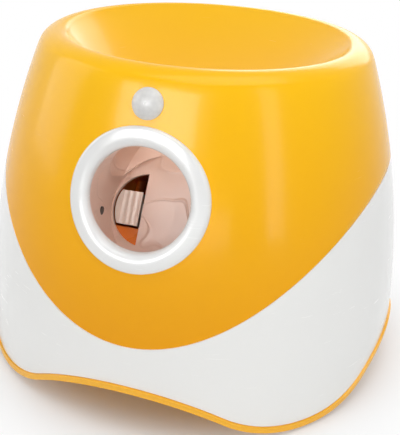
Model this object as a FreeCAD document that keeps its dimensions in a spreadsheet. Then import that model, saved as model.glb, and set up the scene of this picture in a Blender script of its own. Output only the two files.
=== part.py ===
import FreeCAD, Part
import Sketcher
import math
import os
import re
from FreeCAD import Placement, Rotation, Vector

os.makedirs("parts", exist_ok=True)
doc = FreeCAD.newDocument("ball_launcher")
sheet = doc.addObject("Spreadsheet::Sheet", "Sizes")

# Driving dimensions, in millimetres, degrees and counts
DRIVING_SIZES = (
    ("body_height", 210.0, "floor to the crest of the rim"),
    ("barrel_radius", 140.0, "widest radius of the barrel"),
    ("barrel_height", 14.75, "height of the widest place"),
    ("barrel_arc", 520.0, "radius of the wall seen from the side"),
    ("wall_thick", 2.6, "moulded wall of both shells"),
    ("rim_roll", 14.0, "outer rounding of the rim"),
    ("lip_roll", 9.0, "inner rounding of the rim"),
    ("lip_angle", 45.0, "slope where the rim turns into the bowl"),
    ("bowl_wall", 2.0, "wall of the bowl, measured level"),
    ("bowl_drop", 2.4, "wall of the bowl, measured upright"),
    ("bowl_mid_radius", 60.0, "radius of the bowl halfway down"),
    ("bowl_mid_shift", 26.0, "forward shift of the bowl halfway down"),
    ("bowl_mid_height", 184.0, "height of the bowl halfway down"),
    ("throat_radius", 29.0, "bore of the throat under the bowl"),
    ("throat_shift", 66.0, "forward shift of the throat"),
    ("throat_height", 168.0, "height of the top of the throat"),
    ("parting_height", 58.6, "parting line at the front"),
    ("parting_rise", 81.9, "rise of the parting line to the sides"),
    ("parting_half", 124.4, "half width over which it rises"),
    ("tongue_height", 3.0, "tongue of the lower shell inside the upper"),
    ("tongue_gap", 0.15, "room around the tongue"),
    ("foot_gap", 2.0, "pads standing proud of the pan"),
    ("arch_rise", 28.0, "arches between the feet"),
    ("arch_crown", 110.0, "radius of the crown of an arch"),
    ("arch_half", 99.0, "half span of an arch"),
    ("pan_thick", 3.5, "base pan"),
    ("pan_overhang", 1.0, "pan edge beyond the wall"),
    ("foot_radius", 7.0, "rubber pad"),
    ("foot_place", 91.0, "pad centre from the middle, both ways"),
    ("foot_sunk", 1.6, "pad sunk in its recess"),
    ("port_height", 141.0, "centre of the launch port"),
    ("ring_radius", 40.0, "outside of the port ring"),
    ("ring_bore", 28.0, "bore of the port ring"),
    ("ring_proud", 5.0, "ring crest beyond the wall"),
    ("ring_skirt", 10.0, "ring skirt behind the wall's tangent plane"),
    ("spigot_wall", 2.0, "ring spigot through the wall"),
    ("spigot_length", 7.0, "ring spigot behind the tangent plane"),
    ("fit_gap", 0.2, "fixed fits"),
    ("tube_pitch", 30.0, "launch tube above the horizontal"),
    ("tube_length", 64.0, "port to the end wall, along the tube"),
    ("tube_mouth", 30.6, "inside radius of the tube at the port"),
    ("tube_end", 36.0, "inside radius of the tube at the end wall"),
    ("tube_wall", 2.5, "wall of the tube"),
    ("end_wall", 3.0, "end wall of the tube"),
    ("window_radius", 22.5, "round side of the window"),
    ("window_shift", 13.0, "centre of its round side, to the left"),
    ("window_edge", 16.0, "straight side of the window, to the left"),
    ("duct_radius", 30.5, "inside of the duct under the throat"),
    ("duct_front", 80.0, "front end of the duct"),
    ("duct_slope", 45.0, "slope of the duct's floor"),
    ("kicker_x", 20.0, "pivot of the kicker, to the right"),
    ("kicker_depth", 80.0, "pivot of the kicker, along the tube"),
    ("kicker_pin", 3.0, "radius of the kicker's pin"),
    ("kicker_hub", 8.0, "radius of the kicker's hub"),
    ("kicker_reach", 1.5, "face of the kicker beyond the end wall"),
    ("kicker_swing", 35.0, "swing back of the kicker"),
    ("head_half", 10.5, "half height of the kicker's head"),
    ("head_long", 20.0, "length of the kicker's head"),
    ("head_yaw", 14.0, "turn of the kicker's face"),
    ("head_gap", 0.9, "room between the head and the window"),
    ("arm_half", 4.5, "half thickness of the kicker's arm"),
    ("flute_radius", 1.9, "flutes in the kicker's face"),
    ("flute_count", 3, "flutes"),
    ("pivot_gap", 0.05, "running clearance of pins, all round"),
    ("segment_teeth", 24, "teeth of the full circle of the segment"),
    ("segment_module", 1.5, "module of the segment"),
    ("cut_teeth", 9, "teeth cut on the sector gear"),
    ("kicker_teeth", 7, "teeth cut on the kicker's segment"),
    ("segment_front", 2.0, "toothed segment before the pivot"),
    ("wheel_teeth", 30, "teeth of each wheel"),
    ("pinion_teeth", 12, "teeth of each pinion"),
    ("slow_module", 1.0, "module of the slow pair"),
    ("middle_module", 0.8, "module of the middle pair"),
    ("fast_module", 0.6, "module of the fast pair"),
    ("pressure_angle", 25.0, "pressure angle of all teeth"),
    ("tooth_backlash", 0.12, "play of each mesh"),
    ("axle_radius", 1.5, "axles of the compound gears"),
    ("sector_axle_radius", 2.0, "axle of the sector gear"),
    ("gear_width", 5.0, "face width of a gear"),
    ("gear_gap", 0.6, "room between gear layers"),
    ("sector_angle", 50.0, "direction from the kicker to the sector gear"),
    ("slow_angle", 150.0, "direction to the slow compound gear"),
    ("middle_angle", 180.0, "direction to the fast compound gear"),
    ("fast_angle", 180.0, "direction to the motor"),
    ("box_left", 48.0, "left side of the gearbox"),
    ("box_right", 65.0, "right side of the gearbox"),
    ("box_back", 138.0, "back of the gearbox, along the tube"),
    ("box_floor", 12.0, "gearbox floor below the tube's axis"),
    ("box_ceiling", 24.0, "gearbox cover above the tube's axis"),
    ("box_wall", 3.0, "walls of the gearbox"),
    ("apron_drop", 26.0, "apron below the gearbox floor"),
    ("apron_half", 30.0, "half width of the apron"),
    ("motor_radius", 12.0, "motor can"),
    ("motor_length", 30.0, "motor can"),
    ("shaft_radius", 1.15, "motor shaft"),
    ("spring_wire", 0.6, "radius of the kicker spring's wire"),
    ("spring_radius", 6.4, "coil of the kicker spring"),
    ("spring_turns", 3, "turns of the kicker spring"),
    ("bumper_high", 2.4, "rubber stop of the kicker"),
    ("lens_height", 190.0, "centre of the sensor lens"),
    ("lens_radius", 8.5, "rim of the sensor lens"),
    ("lens_dome", 4.2, "dome of the lens beyond the wall"),
    ("lens_stem", 7.3, "stem of the lens"),
    ("lens_depth", 4.0, "stem behind the wall's face"),
    ("sensor_radius", 4.6, "can of the motion sensor"),
    ("sensor_high", 4.2, "can of the motion sensor"),
    ("board_thick", 1.6, "circuit boards"),
    ("panel_height", 92.0, "centre of the rear panel"),
    ("panel_half_wide", 34.0, "half width of the rear panel"),
    ("panel_half_high", 16.0, "half height of the rear panel"),
    ("panel_proud", 0.8, "rear panel beyond the wall"),
    ("button_radius", 7.0, "power button"),
    ("button_x", -13.0, "power button from the middle"),
    ("button_drop", 2.0, "button and jack below the panel's middle"),
    ("button_seat", 7.0, "inner face of the button's collar"),
    ("button_flange", 1.6, "flange of the button beyond its radius"),
    ("collar_wall", 2.6, "collars behind the panel"),
    ("button_gap", 0.1, "running clearance of the button"),
    ("button_plunger", 1.5, "plunger of the button"),
    ("button_proud", 2.4, "power button beyond the panel"),
    ("button_travel", 1.2, "travel of the power button"),
    ("light_radius", 1.6, "indicator lights"),
    ("light_pitch", 8.0, "spacing of the indicator lights"),
    ("light_count", 3, "indicator lights"),
    ("light_rise", 11.5, "lights above the panel's middle"),
    ("jack_radius", 4.8, "body of the power jack"),
    ("jack_bore", 2.8, "bore of the power jack"),
    ("jack_pin", 1.0, "centre pin of the power jack"),
    ("jack_x", 15.0, "power jack from the middle"),
    ("jack_half", 6.5, "half width of the jack's housing"),
    ("board_back", 15.0, "main board behind the wall"),
    ("board_half_wide", 31.0, "half width of the main board"),
    ("board_half_high", 15.0, "half height of the main board"),
    ("board_post_x", 26.0, "posts of the main board from the middle"),
    ("sounder_radius", 7.0, "sounder"),
    ("sounder_high", 6.5, "sounder"),
    ("cell_radius", 13.1, "battery cell"),
    ("cell_length", 50.0, "battery cell"),
    ("cell_gap", 0.6, "room between cells"),
    ("bay_middle", 60.0, "middle of the battery bay behind the centre"),
    ("bay_half_wide", 53.0, "half width of the bay's opening"),
    ("bay_half_deep", 42.0, "half depth of the bay's opening"),
    ("bay_wall", 2.5, "wall of the bay"),
    ("bay_top", 34.0, "seat of the battery tray"),
    ("door_thick", 2.5, "battery door"),
    ("door_top", 32.5, "inside face of the battery door"),
    ("door_gap", 0.4, "room around the battery door"),
    ("door_pin", 1.2, "pins of the battery door"),
    ("boss_radius", 5.0, "screw bosses"),
    ("screw_radius", 1.5, "screw shanks"),
    ("screw_head", 2.9, "screw heads"),
    ("head_high", 2.0, "screw heads"),
    ("head_sink", 1.2, "screw heads sunk in the pan"),
    ("shell_boss", 83.0, "bosses between the shells, both ways"),
    ("upper_boss_high", 24.0, "bosses of the upper shell"),
    ("upper_rib_long", 18.0, "ribs from these bosses to the wall"),
    ("lower_rib_long", 24.0, "ribs from the lower bosses to the wall"),
    ("rib_step", 8.0, "these ribs end below the seam"),
    ("boss_cap", 14.0, "plastic between a screw head and the seam"),
    ("pan_boss_high", 14.0, "bosses above the pan"),
    ("thread_deep", 18.0, "pilot holes in the bosses"),
    ("pan_thread_deep", 11.0, "pilot holes above the pan"),
    ("lens_post", 2.2, "posts of the sensor board"),
    ("lens_post_gap", 3.0, "posts from the lens's rim"),
    ("lens_post_end", 1.2, "posts end below the wall's face"),
    ("ring_edge", 4.0, "outer rounding of the port ring"),
    ("ring_mouth", 6.0, "rounding into the port"),
    ("tube_reach", 22.0, "front end of the tube, before the wall cuts it"),
    ("duct_foot", 70.0, "level from which the duct is raised"),
    ("eye_radius", 2.5, "ball sensors"),
    ("eye_long", 9.0, "ball sensors"),
    ("eye_back", 22.0, "ball sensors before the end wall"),
    ("eye_drop", 6.0, "ball sensors below the axis"),
    ("eye_flange", 9.0, "flanges of the ball sensors"),
    ("eye_flange_thick", 2.0, "flanges of the ball sensors"),
    ("arm_root", 7.0, "kicker arm behind the pivot's middle"),
    ("arm_front", 3.5, "kicker arm before the pivot's middle, at the head"),
    ("arm_into", 4.0, "kicker arm into the head"),
    ("bumper_x", 8.0, "rubber stop, to the left"),
    ("bumper_wide", 8.0, "rubber stop"),
    ("play_gap", 0.3, "end play of turning pieces"),
    ("small_pilot", 1.1, "thread of small screws"),
    ("small_clear", 1.3, "clearance hole of small screws"),
    ("small_head", 2.2, "heads of small screws"),
    ("small_head_high", 1.6, "heads of small screws"),
    ("corner_boss", 3.6, "corner bosses of the gearbox"),
    ("corner_inset", 2.4, "corner bosses from the gearbox walls"),
    ("apron_screw_x", 20.0, "apron screws from the middle"),
    ("apron_screw_drop", 26.0, "apron screws below the tube's axis"),
    ("shaft_in_motor", 8.0, "motor shaft inside the can"),
    ("motor_head", 1.9, "heads of the motor screws"),
    ("motor_head_high", 1.2, "heads of the motor screws"),
    ("motor_flat", 2.0, "flats of the motor can"),
    ("motor_boss", 4.0, "bearing boss of the motor"),
    ("motor_boss_high", 2.5, "bearing boss of the motor"),
    ("motor_screw_place", 8.0, "motor screws from its shaft"),
    ("motor_screw", 1.0, "motor screws"),
    ("switch_long", 20.0, "home switch"),
    ("switch_deep", 6.0, "home switch"),
    ("switch_high", 10.0, "home switch"),
    ("stand_thick", 3.0, "webs of the gearbox stand"),
    ("stand_left", 5.0, "left web inside the gearbox's side"),
    ("stand_right", 8.0, "right web inside the gearbox's side"),
    ("lug_radius", 3.0, "screw lugs of the stand"),
    ("lug_long", 12.0, "screw lugs of the stand"),
    ("lug_front", 80.0, "front lugs, along the tube"),
    ("lug_back", 121.0, "rear lugs, along the tube"),
    ("stand_boss", 4.5, "bosses of the stand on the pan"),
    ("stand_boss_high", 48.0, "top of these bosses"),
    ("pan_boss", 133.0, "bosses between pan and shell"),
)
for row, (alias, value, note) in enumerate(DRIVING_SIZES, 1):
    sheet.set("A%d" % row, alias)
    sheet.set("B%d" % row, str(value))
    sheet.setAlias("B%d" % row, alias)
    sheet.set("C%d" % row, note)
doc.recompute()
next_row = len(DRIVING_SIZES) + 2


def size(alias):
    """The number in the sheet's cell of this name."""
    return float(sheet.get(alias))


def derive(alias, value):
    """Keep a size that follows from others beside them in the sheet."""
    global next_row
    sheet.set("A%d" % next_row, alias)
    sheet.set("B%d" % next_row, repr(float(value)))
    sheet.setAlias("B%d" % next_row, alias)
    sheet.recompute()
    next_row += 1
    return float(value)


def cells(text):
    """Turn plain aliases in an expression into references to the sheet."""
    return re.sub(r"\b([a-z]+_[a-z_]*[a-z])\b", r"Sizes.\1", str(text))


def bind(thing, **sizes):
    """Bind properties of one object to expressions over the sheet."""
    for name, text in sizes.items():
        thing.setExpression(name, cells(text))
    return thing


def at(thing, x="0", y="0", z="0"):
    """Bind the place of one object to expressions over the sheet."""
    for axis, text in (("x", x), ("y", y), ("z", z)):
        thing.setExpression(".Placement.Base." + axis, cells(text))
    return thing


def block(name, wide, deep, high, x="0", y="0", z="0", place=None):
    """A box whose corner lies at x, y, z, or in the given place."""
    box = doc.addObject("Part::Box", name)
    bind(box, Length=wide, Width=deep, Height=high)
    if place:
        box.Placement = place
        return box
    return at(box, x, y, z)


def rod(name, radius, high, x="0", y="0", z="0", turn=None, place=None):
    """A cylinder standing on x, y, z, turned as asked, or in the given place."""
    cylinder = doc.addObject("Part::Cylinder", name)
    bind(cylinder, Radius=radius, Height=high)
    if place:
        cylinder.Placement = place
        return cylinder
    if turn:
        cylinder.Placement = Placement(Vector(), turn)
    return at(cylinder, x, y, z)


def solid(name, shape):
    """A shape that Part's own functions make from the sheet's sizes."""
    feature = doc.addObject("Part::Feature", name)
    feature.Shape = shape
    return feature


def joined(name, things):
    fusion = doc.addObject("Part::MultiFuse", name)
    fusion.Shapes = things
    fusion.Refine = False
    return fusion


def less(name, base, tool):
    cut = doc.addObject("Part::Cut", name)
    cut.Base = base
    cut.Tool = tool
    cut.Refine = False
    return cut


def overlap(name, base, tool):
    common = doc.addObject("Part::Common", name)
    common.Base = base
    common.Tool = tool
    return common


def group(name, things):
    """Separate like solids kept as one piece."""
    compound = doc.addObject("Part::Compound", name)
    compound.Links = things
    return compound


nodes = []


def keep(name, thing, place=None):
    """Name a finished sub-part and put it in its place."""
    thing.Label = name
    if place:
        thing.Placement = place.multiply(thing.Placement)
    nodes.append((name, thing))
    return thing


BACKWARD = Rotation(Vector(1, 0, 0), -90)
FORWARD = Rotation(Vector(1, 0, 0), 90)
RIGHT = Rotation(Vector(0, 1, 0), 90)


def outline(body, name, role, corners):
    """A closed sketch: corners are (across, up, arc) and the arc leads to the next.

    An arc is a radius; a positive one turns left of the way to the next corner.
    """
    plane = [f for f in body.Origin.OriginFeatures if f.Role == role][0]
    sketch = body.newObject("Sketcher::SketchObject", name)
    sketch.AttachmentSupport = [(plane, "")]
    sketch.MapMode = "FlatFace"
    spots = [Vector(float(sheet.evalExpression(str(c[0]))),
                    float(sheet.evalExpression(str(c[1]))), 0) for c in corners]
    count = len(corners)
    first, last = [], []
    for i, start in enumerate(spots):
        end = spots[(i + 1) % count]
        bend = float(sheet.evalExpression(corners[i][2])) if len(corners[i]) > 2 else 0.0
        first.append(1 if bend >= 0 else 2)
        last.append(2 if bend >= 0 else 1)
        if not bend:
            sketch.addGeometry(Part.LineSegment(start, end), False)
            continue
        turn = 1 if bend > 0 else -1
        chord = end - start
        side = Vector(-chord.y, chord.x, 0).normalize()
        centre = (start + end) * 0.5 + side * (
            turn * math.sqrt(max(bend ** 2 - chord.Length ** 2 / 4, 0)))
        middle = centre - side * bend
        ends = (start, end) if bend > 0 else (end, start)
        sketch.addGeometry(Part.Arc(ends[0], middle, ends[1]), False)
    for i in range(count):
        for kind, k in (("DistanceX", 0), ("DistanceY", 1)):
            index = sketch.addConstraint(Sketcher.Constraint(
                kind, -1, 1, i, first[i], spots[i][k]))
            sketch.setExpression("Constraints[%d]" % index, cells(corners[i][k]))
        before = (i - 1) % count
        sketch.addConstraint(Sketcher.Constraint("Coincident", before, last[before],
                                                 i, first[i]))
        if len(corners[i]) > 2:
            bend = corners[i][2].lstrip("-")
            index = sketch.addConstraint(Sketcher.Constraint(
                "Radius", i, float(sheet.evalExpression(bend))))
            sketch.setExpression("Constraints[%d]" % index, cells(bend))
    return sketch


def turned(name, corners, angle=360.0):
    """A body revolved about its own upright axis from a sketch of its section."""
    body = doc.addObject("PartDesign::Body", name)
    sketch = outline(body, name + "_section", "XZ_Plane", corners)
    doc.recompute()
    revolution = body.newObject("PartDesign::Revolution", name + "_turned")
    revolution.Profile = sketch
    revolution.ReferenceAxis = (sketch, ["V_Axis"])
    revolution.Angle = angle
    body.Tip = revolution
    doc.recompute()
    return body


# Places that follow from the driving sizes
height = size("body_height")
arc = size("barrel_arc")
arc_x = derive("barrel_axis", size("barrel_radius") - arc)
wall = size("wall_thick")


def barrel(z, inward=0.0):
    """Radius of the barrel at a height, on a wall moved inward."""
    rise = z - size("barrel_height")
    return arc_x + math.sqrt((arc - inward) ** 2 - rise ** 2)


def lean(z):
    """How far the wall's outward normal points up at a height, in degrees."""
    return math.degrees(math.asin((z - size("barrel_height")) / arc))


port_radius = derive("port_radius", barrel(size("port_height")))
port_point = Vector(0, -port_radius, size("port_height"))
port_lean = lean(size("port_height"))
lens_wall = derive("lens_wall", barrel(size("lens_height")))
lens_point = Vector(0, -lens_wall, size("lens_height"))
lens_lean = lean(size("lens_height"))

# Rim: the outer rounding leaves the wall where both have one slope
roll = size("rim_roll")
roll_start = height - roll
for step in range(20):
    roll_start = height - roll * (1 - math.sin(math.radians(lean(roll_start))))
derive("roll_start", roll_start)
derive("roll_radius", barrel(roll_start))
crest = derive("crest_radius",
               barrel(roll_start) - roll * math.cos(math.radians(lean(roll_start))))
lip = size("lip_roll")
lip_turn = math.radians(size("lip_angle"))
mouth = derive("mouth_radius", crest - lip * math.sin(lip_turn))
mouth_z = derive("mouth_height", height - lip * (1 - math.cos(lip_turn)))
shell_foot = derive("shell_foot", size("parting_height") - 12)
derive("shell_foot_radius", barrel(shell_foot))
derive("shell_foot_inside", barrel(shell_foot, wall))
derive("roll_inside", barrel(roll_start, wall))
derive("inner_arc", arc - wall)

# Parting line between the shells: one curve seen from the front, cut right through
steep = size("parting_rise") / size("parting_half") ** 2
reach = size("barrel_radius") + 20


def below_parting(name, lift):
    """Everything under the parting line, raised by lift."""
    low = size("parting_height") + lift
    ends = low + steep * reach ** 2
    bow = Part.BezierCurve()
    bow.setPoles([Vector(-reach, -reach, ends), Vector(0, -reach, low - steep * reach ** 2),
                  Vector(reach, -reach, ends)])
    corners = [Vector(reach, -reach, ends), Vector(reach, -reach, -reach),
               Vector(-reach, -reach, -reach), Vector(-reach, -reach, ends)]
    edges = [bow.toShape()]
    edges += [Part.LineSegment(a, b).toShape() for a, b in zip(corners, corners[1:])]
    face = Part.Face(Part.Wire(edges))
    return solid(name, face.extrude(Vector(0, 2 * reach, 0)))


# Arches under the pan: the crown and the feet are tangent arcs
crown_z = derive("crown_height", size("foot_gap") + size("arch_rise"))
foot_arc = derive("foot_arc", (size("arch_half") ** 2 + size("arch_rise") ** 2)
                  / (2 * size("arch_rise")) - size("arch_crown"))


def arch_height(across, lift=0.0):
    """Height of one arch at a distance from its middle."""
    crown = size("arch_crown")
    meet = size("arch_half") * crown / (crown + foot_arc)
    if abs(across) <= meet:
        return lift + crown_z - crown + math.sqrt(crown ** 2 - across ** 2)
    off = min(abs(across), size("arch_half")) - size("arch_half")
    return lift + size("foot_gap") + foot_arc - math.sqrt(foot_arc ** 2 - off ** 2)


def arches(name, lift):
    """The room under both crossing arches, raised by lift."""
    crown = size("arch_crown")
    half = size("arch_half")
    meet = half * crown / (crown + foot_arc)
    tread = size("foot_gap") + lift
    spots = []
    for across in (-half, -(half + meet) / 2, -meet, 0, meet, (half + meet) / 2, half):
        spots.append(Vector(across, -reach, arch_height(across, lift)))
    edges = [Part.Arc(*spots[0:3]).toShape(), Part.Arc(*spots[2:5]).toShape(),
             Part.Arc(*spots[4:7]).toShape()]
    ring = [spots[6], Vector(reach, -reach, tread), Vector(reach, -reach, -reach),
            Vector(-reach, -reach, -reach), Vector(-reach, -reach, tread), spots[0]]
    edges += [Part.LineSegment(a, b).toShape() for a, b in zip(ring, ring[1:])]
    tunnel = Part.Face(Part.Wire(edges)).extrude(Vector(0, 2 * reach, 0))
    crossing = tunnel.copy()
    crossing.rotate(Vector(), Vector(0, 0, 1), 90)
    return solid(name, tunnel.fuse(crossing).removeSplitter())


# Frames of the port ring, the lens and the launch tube
def looking_out(point, pitch):
    """Local z points out of the wall, local y up it."""
    return Placement(point, Rotation(Vector(1, 0, 0), 90 - pitch))


ring_place = looking_out(port_point, port_lean)
lens_place = looking_out(lens_point, lens_lean)
pitch = size("tube_pitch")
launch_place = Placement(port_point, Rotation(Vector(1, 0, 0), -pitch))


def launch(x, along, up):
    """A point given along the launch tube, in the whole object's frame."""
    return launch_place.multVec(Vector(x, along, up))


# Upper shell: outer wall, rim, bowl and spout are one moulding
upper_wall = turned("upper_wall", [
    ("shell_foot_radius", "shell_foot", "barrel_arc"),
    ("roll_radius", "roll_start", "rim_roll"),
    ("crest_radius", "body_height", "lip_roll"),
    ("mouth_radius", "mouth_height"),
    ("mouth_radius + bowl_wall", "mouth_height - bowl_drop"),
    ("crest_radius", "body_height - wall_thick"),
    ("crest_radius + rim_roll / 2", "body_height - wall_thick - bowl_wall"),
    ("roll_inside", "roll_start", "-inner_arc"),
    ("shell_foot_inside", "shell_foot"),
])


def bowl(name, outward, down):
    """The oblique bowl from the rim's mouth to the throat."""
    rings = ((mouth, 0.0, mouth_z), (size("bowl_mid_radius"), size("bowl_mid_shift"),
                                     size("bowl_mid_height")),
             (size("throat_radius"), size("throat_shift"), size("throat_height")))
    wires = []
    for radius, shift, level in rings:
        drop = down if shift else 0.0
        circle = Part.Circle(Vector(0, -shift, level - drop), Vector(0, 0, 1),
                             radius + outward)
        wires.append(Part.Wire(circle.toShape()))
    return solid(name, Part.makeLoft(wires, True, False))


bowl_outside = bowl("bowl_outside", size("bowl_wall"), size("bowl_drop"))
throat_bore = rod("throat_bore", "throat_radius", "bowl_drop + 1", "0", "-throat_shift",
                  "throat_height - bowl_drop - 1")
bowl_inside = joined("bowl_inside", [bowl("bowl_hollow", 0.0, 0.0), throat_bore])
upper_blank = joined("upper_blank", [upper_wall, less("bowl_skin", bowl_outside, bowl_inside)])


def local(place, x, y, z):
    """A point of one piece's frame as a place without further turning."""
    return place.multiply(Placement(Vector(x, y, z), Rotation()))


wall_hole = rod("wall_hole", "ring_bore + spigot_wall + fit_gap", "ring_radius * 2",
                place=local(ring_place, 0, 0, -size("ring_radius")))
lens_hole = rod("lens_hole", "lens_stem + fit_gap", "lens_radius * 2",
                place=local(lens_place, 0, 0, -size("lens_radius")))


def panel_slab(name, room):
    """Upright block in the place of the rear panel."""
    return block(name, "2 * (panel_half_wide + %s)" % room, "40",
                 "2 * (panel_half_high + %s)" % room,
                 "-panel_half_wide - %s" % room, "barrel_radius - 30",
                 "panel_height - panel_half_high - %s" % room)


def shell_ring(name, outside, inside, low, high):
    """A ring of the barrel's wall between two depths and two heights."""
    spots = [Vector(barrel(low, outside), 0, low), Vector(barrel(high, outside), 0, high),
             Vector(barrel(high, inside), 0, high), Vector(barrel(low, inside), 0, low)]
    middle = (low + high) / 2
    edges = [Part.Arc(spots[0], Vector(barrel(middle, outside), 0, middle), spots[1]).toShape(),
             Part.LineSegment(spots[1], spots[2]).toShape(),
             Part.Arc(spots[2], Vector(barrel(middle, inside), 0, middle), spots[3]).toShape(),
             Part.LineSegment(spots[3], spots[0]).toShape()]
    face = Part.Face(Part.Wire(edges))
    return solid(name, face.revolve(Vector(), Vector(0, 0, 1), 360))


def barrel_core(name, inward, low, high):
    """The full round body inside a wall's surface."""
    spots = [Vector(0, 0, low), Vector(barrel(low, inward), 0, low),
             Vector(barrel(high, inward), 0, high), Vector(0, 0, high)]
    middle = (low + high) / 2
    edges = [Part.LineSegment(spots[0], spots[1]).toShape(),
             Part.Arc(spots[1], Vector(barrel(middle, inward), 0, middle), spots[2]).toShape(),
             Part.LineSegment(spots[2], spots[3]).toShape(),
             Part.LineSegment(spots[3], spots[0]).toShape()]
    face = Part.Face(Part.Wire(edges))
    return solid(name, face.revolve(Vector(), Vector(0, 0, 1), 360))


half_wall = wall / 2
above_tongue = less("above_tongue", block("tongue_slab", "4 * barrel_radius",
                                          "4 * barrel_radius", "body_height",
                                          "-2 * barrel_radius", "-2 * barrel_radius", "0"),
                    below_parting("tongue_line", size("tongue_height") + size("tongue_gap")))
tongue_room = less("tongue_room", shell_ring("tongue_ring", half_wall - size("tongue_gap"),
                                            wall + 0.1, 40, 160), above_tongue)
seam_room = less("seam_room", shell_ring("seam_ring", -1.0, wall + size("fit_gap"), 40, 160),
                 above_tongue)
parting = below_parting("parting", 0)

# Screw bosses between the shells stand on the four diagonals
boss_z = derive("boss_seam", size("parting_height") + steep * size("shell_boss") ** 2)
derive("screw_seat", boss_z - size("boss_cap"))
corner_signs = ((1, 1), (-1, 1), (-1, -1), (1, -1))


def rib_place(sx, sy, level):
    """A rib's corner at one boss, turned to run straight out to the wall."""
    turn = Rotation(Vector(0, 0, 1), math.degrees(math.atan2(sy, sx)))
    start = turn.multVec(Vector(size("shell_boss") * math.sqrt(2), -size("boss_radius") / 4, level))
    return Placement(start, turn)


upper_bosses = []
for i, (sx, sy) in enumerate(corner_signs):
    post = rod("upper_boss_%d" % i, "boss_radius", "upper_boss_high", "%d * shell_boss" % sx,
               "%d * shell_boss" % sy, "boss_seam")
    web = block("upper_rib_%d" % i, "upper_rib_long", "boss_radius / 2", "upper_boss_high",
                place=rib_place(sx, sy, boss_z))
    pilot = rod("upper_pilot_%d" % i, "screw_radius", "thread_deep + 1", "%d * shell_boss" % sx,
                "%d * shell_boss" % sy, "boss_seam - 1")
    upper_bosses.append(less("upper_post_%d" % i, joined("upper_stub_%d" % i, [post, web]), pilot))
boss_limit = barrel_core("boss_limit", 1.0, 20, 195)
posts_inside = less("posts_clear", overlap("posts_inside", group("upper_posts", upper_bosses),
                                           boss_limit), seam_room)

# Two little posts behind the lens carry the sensor board
lens_posts = []
lens_board = -size("lens_depth") - size("play_gap") - size("sensor_high")
lens_post_x = size("lens_radius") + size("lens_post_gap")
for sx in (-1, 1):
    lens_posts.append(rod("lens_post", "lens_post",
                          "lens_depth + play_gap + sensor_high - lens_post_end",
                          place=local(lens_place, sx * lens_post_x, 0, lens_board)))

upper_trimmed = less("upper_trimmed", upper_blank, parting)
upper_tongued = less("upper_tongued", upper_trimmed, tongue_room)
upper_full = joined("upper_full", [upper_tongued, posts_inside] + lens_posts)
upper_holes = joined("upper_holes", [wall_hole, lens_hole, panel_slab("panel_room", "fit_gap")])
keep("upper_shell", less("upper_shell_cut", upper_full, upper_holes))

# Lower shell: white wall from the pan up to the parting line, with a tongue inside
pan_top = arches("pan_top", size("pan_thick"))
lower_band = overlap("lower_band", shell_ring("lower_ring", 0.0, wall, 0.5, 165),
                     below_parting("lower_line", 0))
lower_tongue = overlap("lower_tongue",
                       shell_ring("lower_tongue_ring", half_wall, wall, 40, 165),
                       below_parting("lower_tongue_line", size("tongue_height")))
lower_bosses = []
for i, (sx, sy) in enumerate(corner_signs):
    post = rod("lower_boss_%d" % i, "boss_radius", "boss_seam", "%d * shell_boss" % sx,
               "%d * shell_boss" % sy, "0")
    web = block("lower_rib_%d" % i, "lower_rib_long", "boss_radius / 2", "boss_seam - rib_step",
                place=rib_place(sx, sy, 0))
    lower_bosses.append(joined("lower_stub_%d" % i, [post, web]))
side_signs = ((0, -1), (1, 0), (0, 1), (-1, 0))
pan_bosses = []
for i, (sx, sy) in enumerate(side_signs):
    pan_bosses.append(rod("pan_boss_%d" % i, "boss_radius", "pan_boss_high", "%d * pan_boss" % sx,
                          "%d * pan_boss" % sy, "crown_height"))
shell_limit = barrel_core("shell_limit", 1.0, 0.5, 165)
lower_posts = overlap("lower_posts", joined("lower_stubs", lower_bosses + pan_bosses), shell_limit)
lower_full = less("lower_full", joined("lower_whole", [lower_band, lower_tongue, lower_posts]),
                  pan_top)
lower_tools = []
for i, (sx, sy) in enumerate(corner_signs):
    lower_tools.append(rod("shank_%d" % i, "screw_radius + fit_gap", "boss_seam + 2",
                           "%d * shell_boss" % sx, "%d * shell_boss" % sy, "0"))
    lower_tools.append(rod("well_%d" % i, "screw_head + fit_gap * 2", "screw_seat",
                           "%d * shell_boss" % sx, "%d * shell_boss" % sy, "0"))
for i, (sx, sy) in enumerate(side_signs):
    lower_tools.append(rod("pan_pilot_%d" % i, "screw_radius", "pan_thread_deep", "%d * pan_boss" % sx,
                           "%d * pan_boss" % sy, "crown_height"))
keep("lower_shell", less("lower_shell_cut", lower_full, joined("lower_holes", lower_tools)))

# Base pan: an even skin between the arches and the same arches raised
pan_disc = rod("pan_disc", "barrel_radius + pan_overhang", "crown_height + 2 * pan_thick")
pan_room = arches("pan_room", 0)
pan_skin = overlap("pan_skin", pan_disc, arches("pan_skin_top", size("pan_thick")))
bay_frame = block("bay_frame", "2 * (bay_half_wide + bay_wall)", "2 * (bay_half_deep + bay_wall)",
                  "bay_top", "-bay_half_wide - bay_wall", "bay_middle - bay_half_deep - bay_wall",
                  "0")
pan_tools = [block("bay_opening", "2 * bay_half_wide", "2 * bay_half_deep", "body_height",
                   "-bay_half_wide", "bay_middle - bay_half_deep", "-1")]
for i, (sx, sy) in enumerate(corner_signs):
    pan_tools.append(rod("foot_recess_%d" % i, "foot_radius + fit_gap", "foot_gap + foot_sunk",
                         "%d * foot_place" % sx, "%d * foot_place" % sy, "0"))
    pan_tools.append(rod("pan_access_%d" % i, "screw_head + fit_gap * 2", "20",
                         "%d * shell_boss" % sx, "%d * shell_boss" % sy, "0"))
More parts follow.
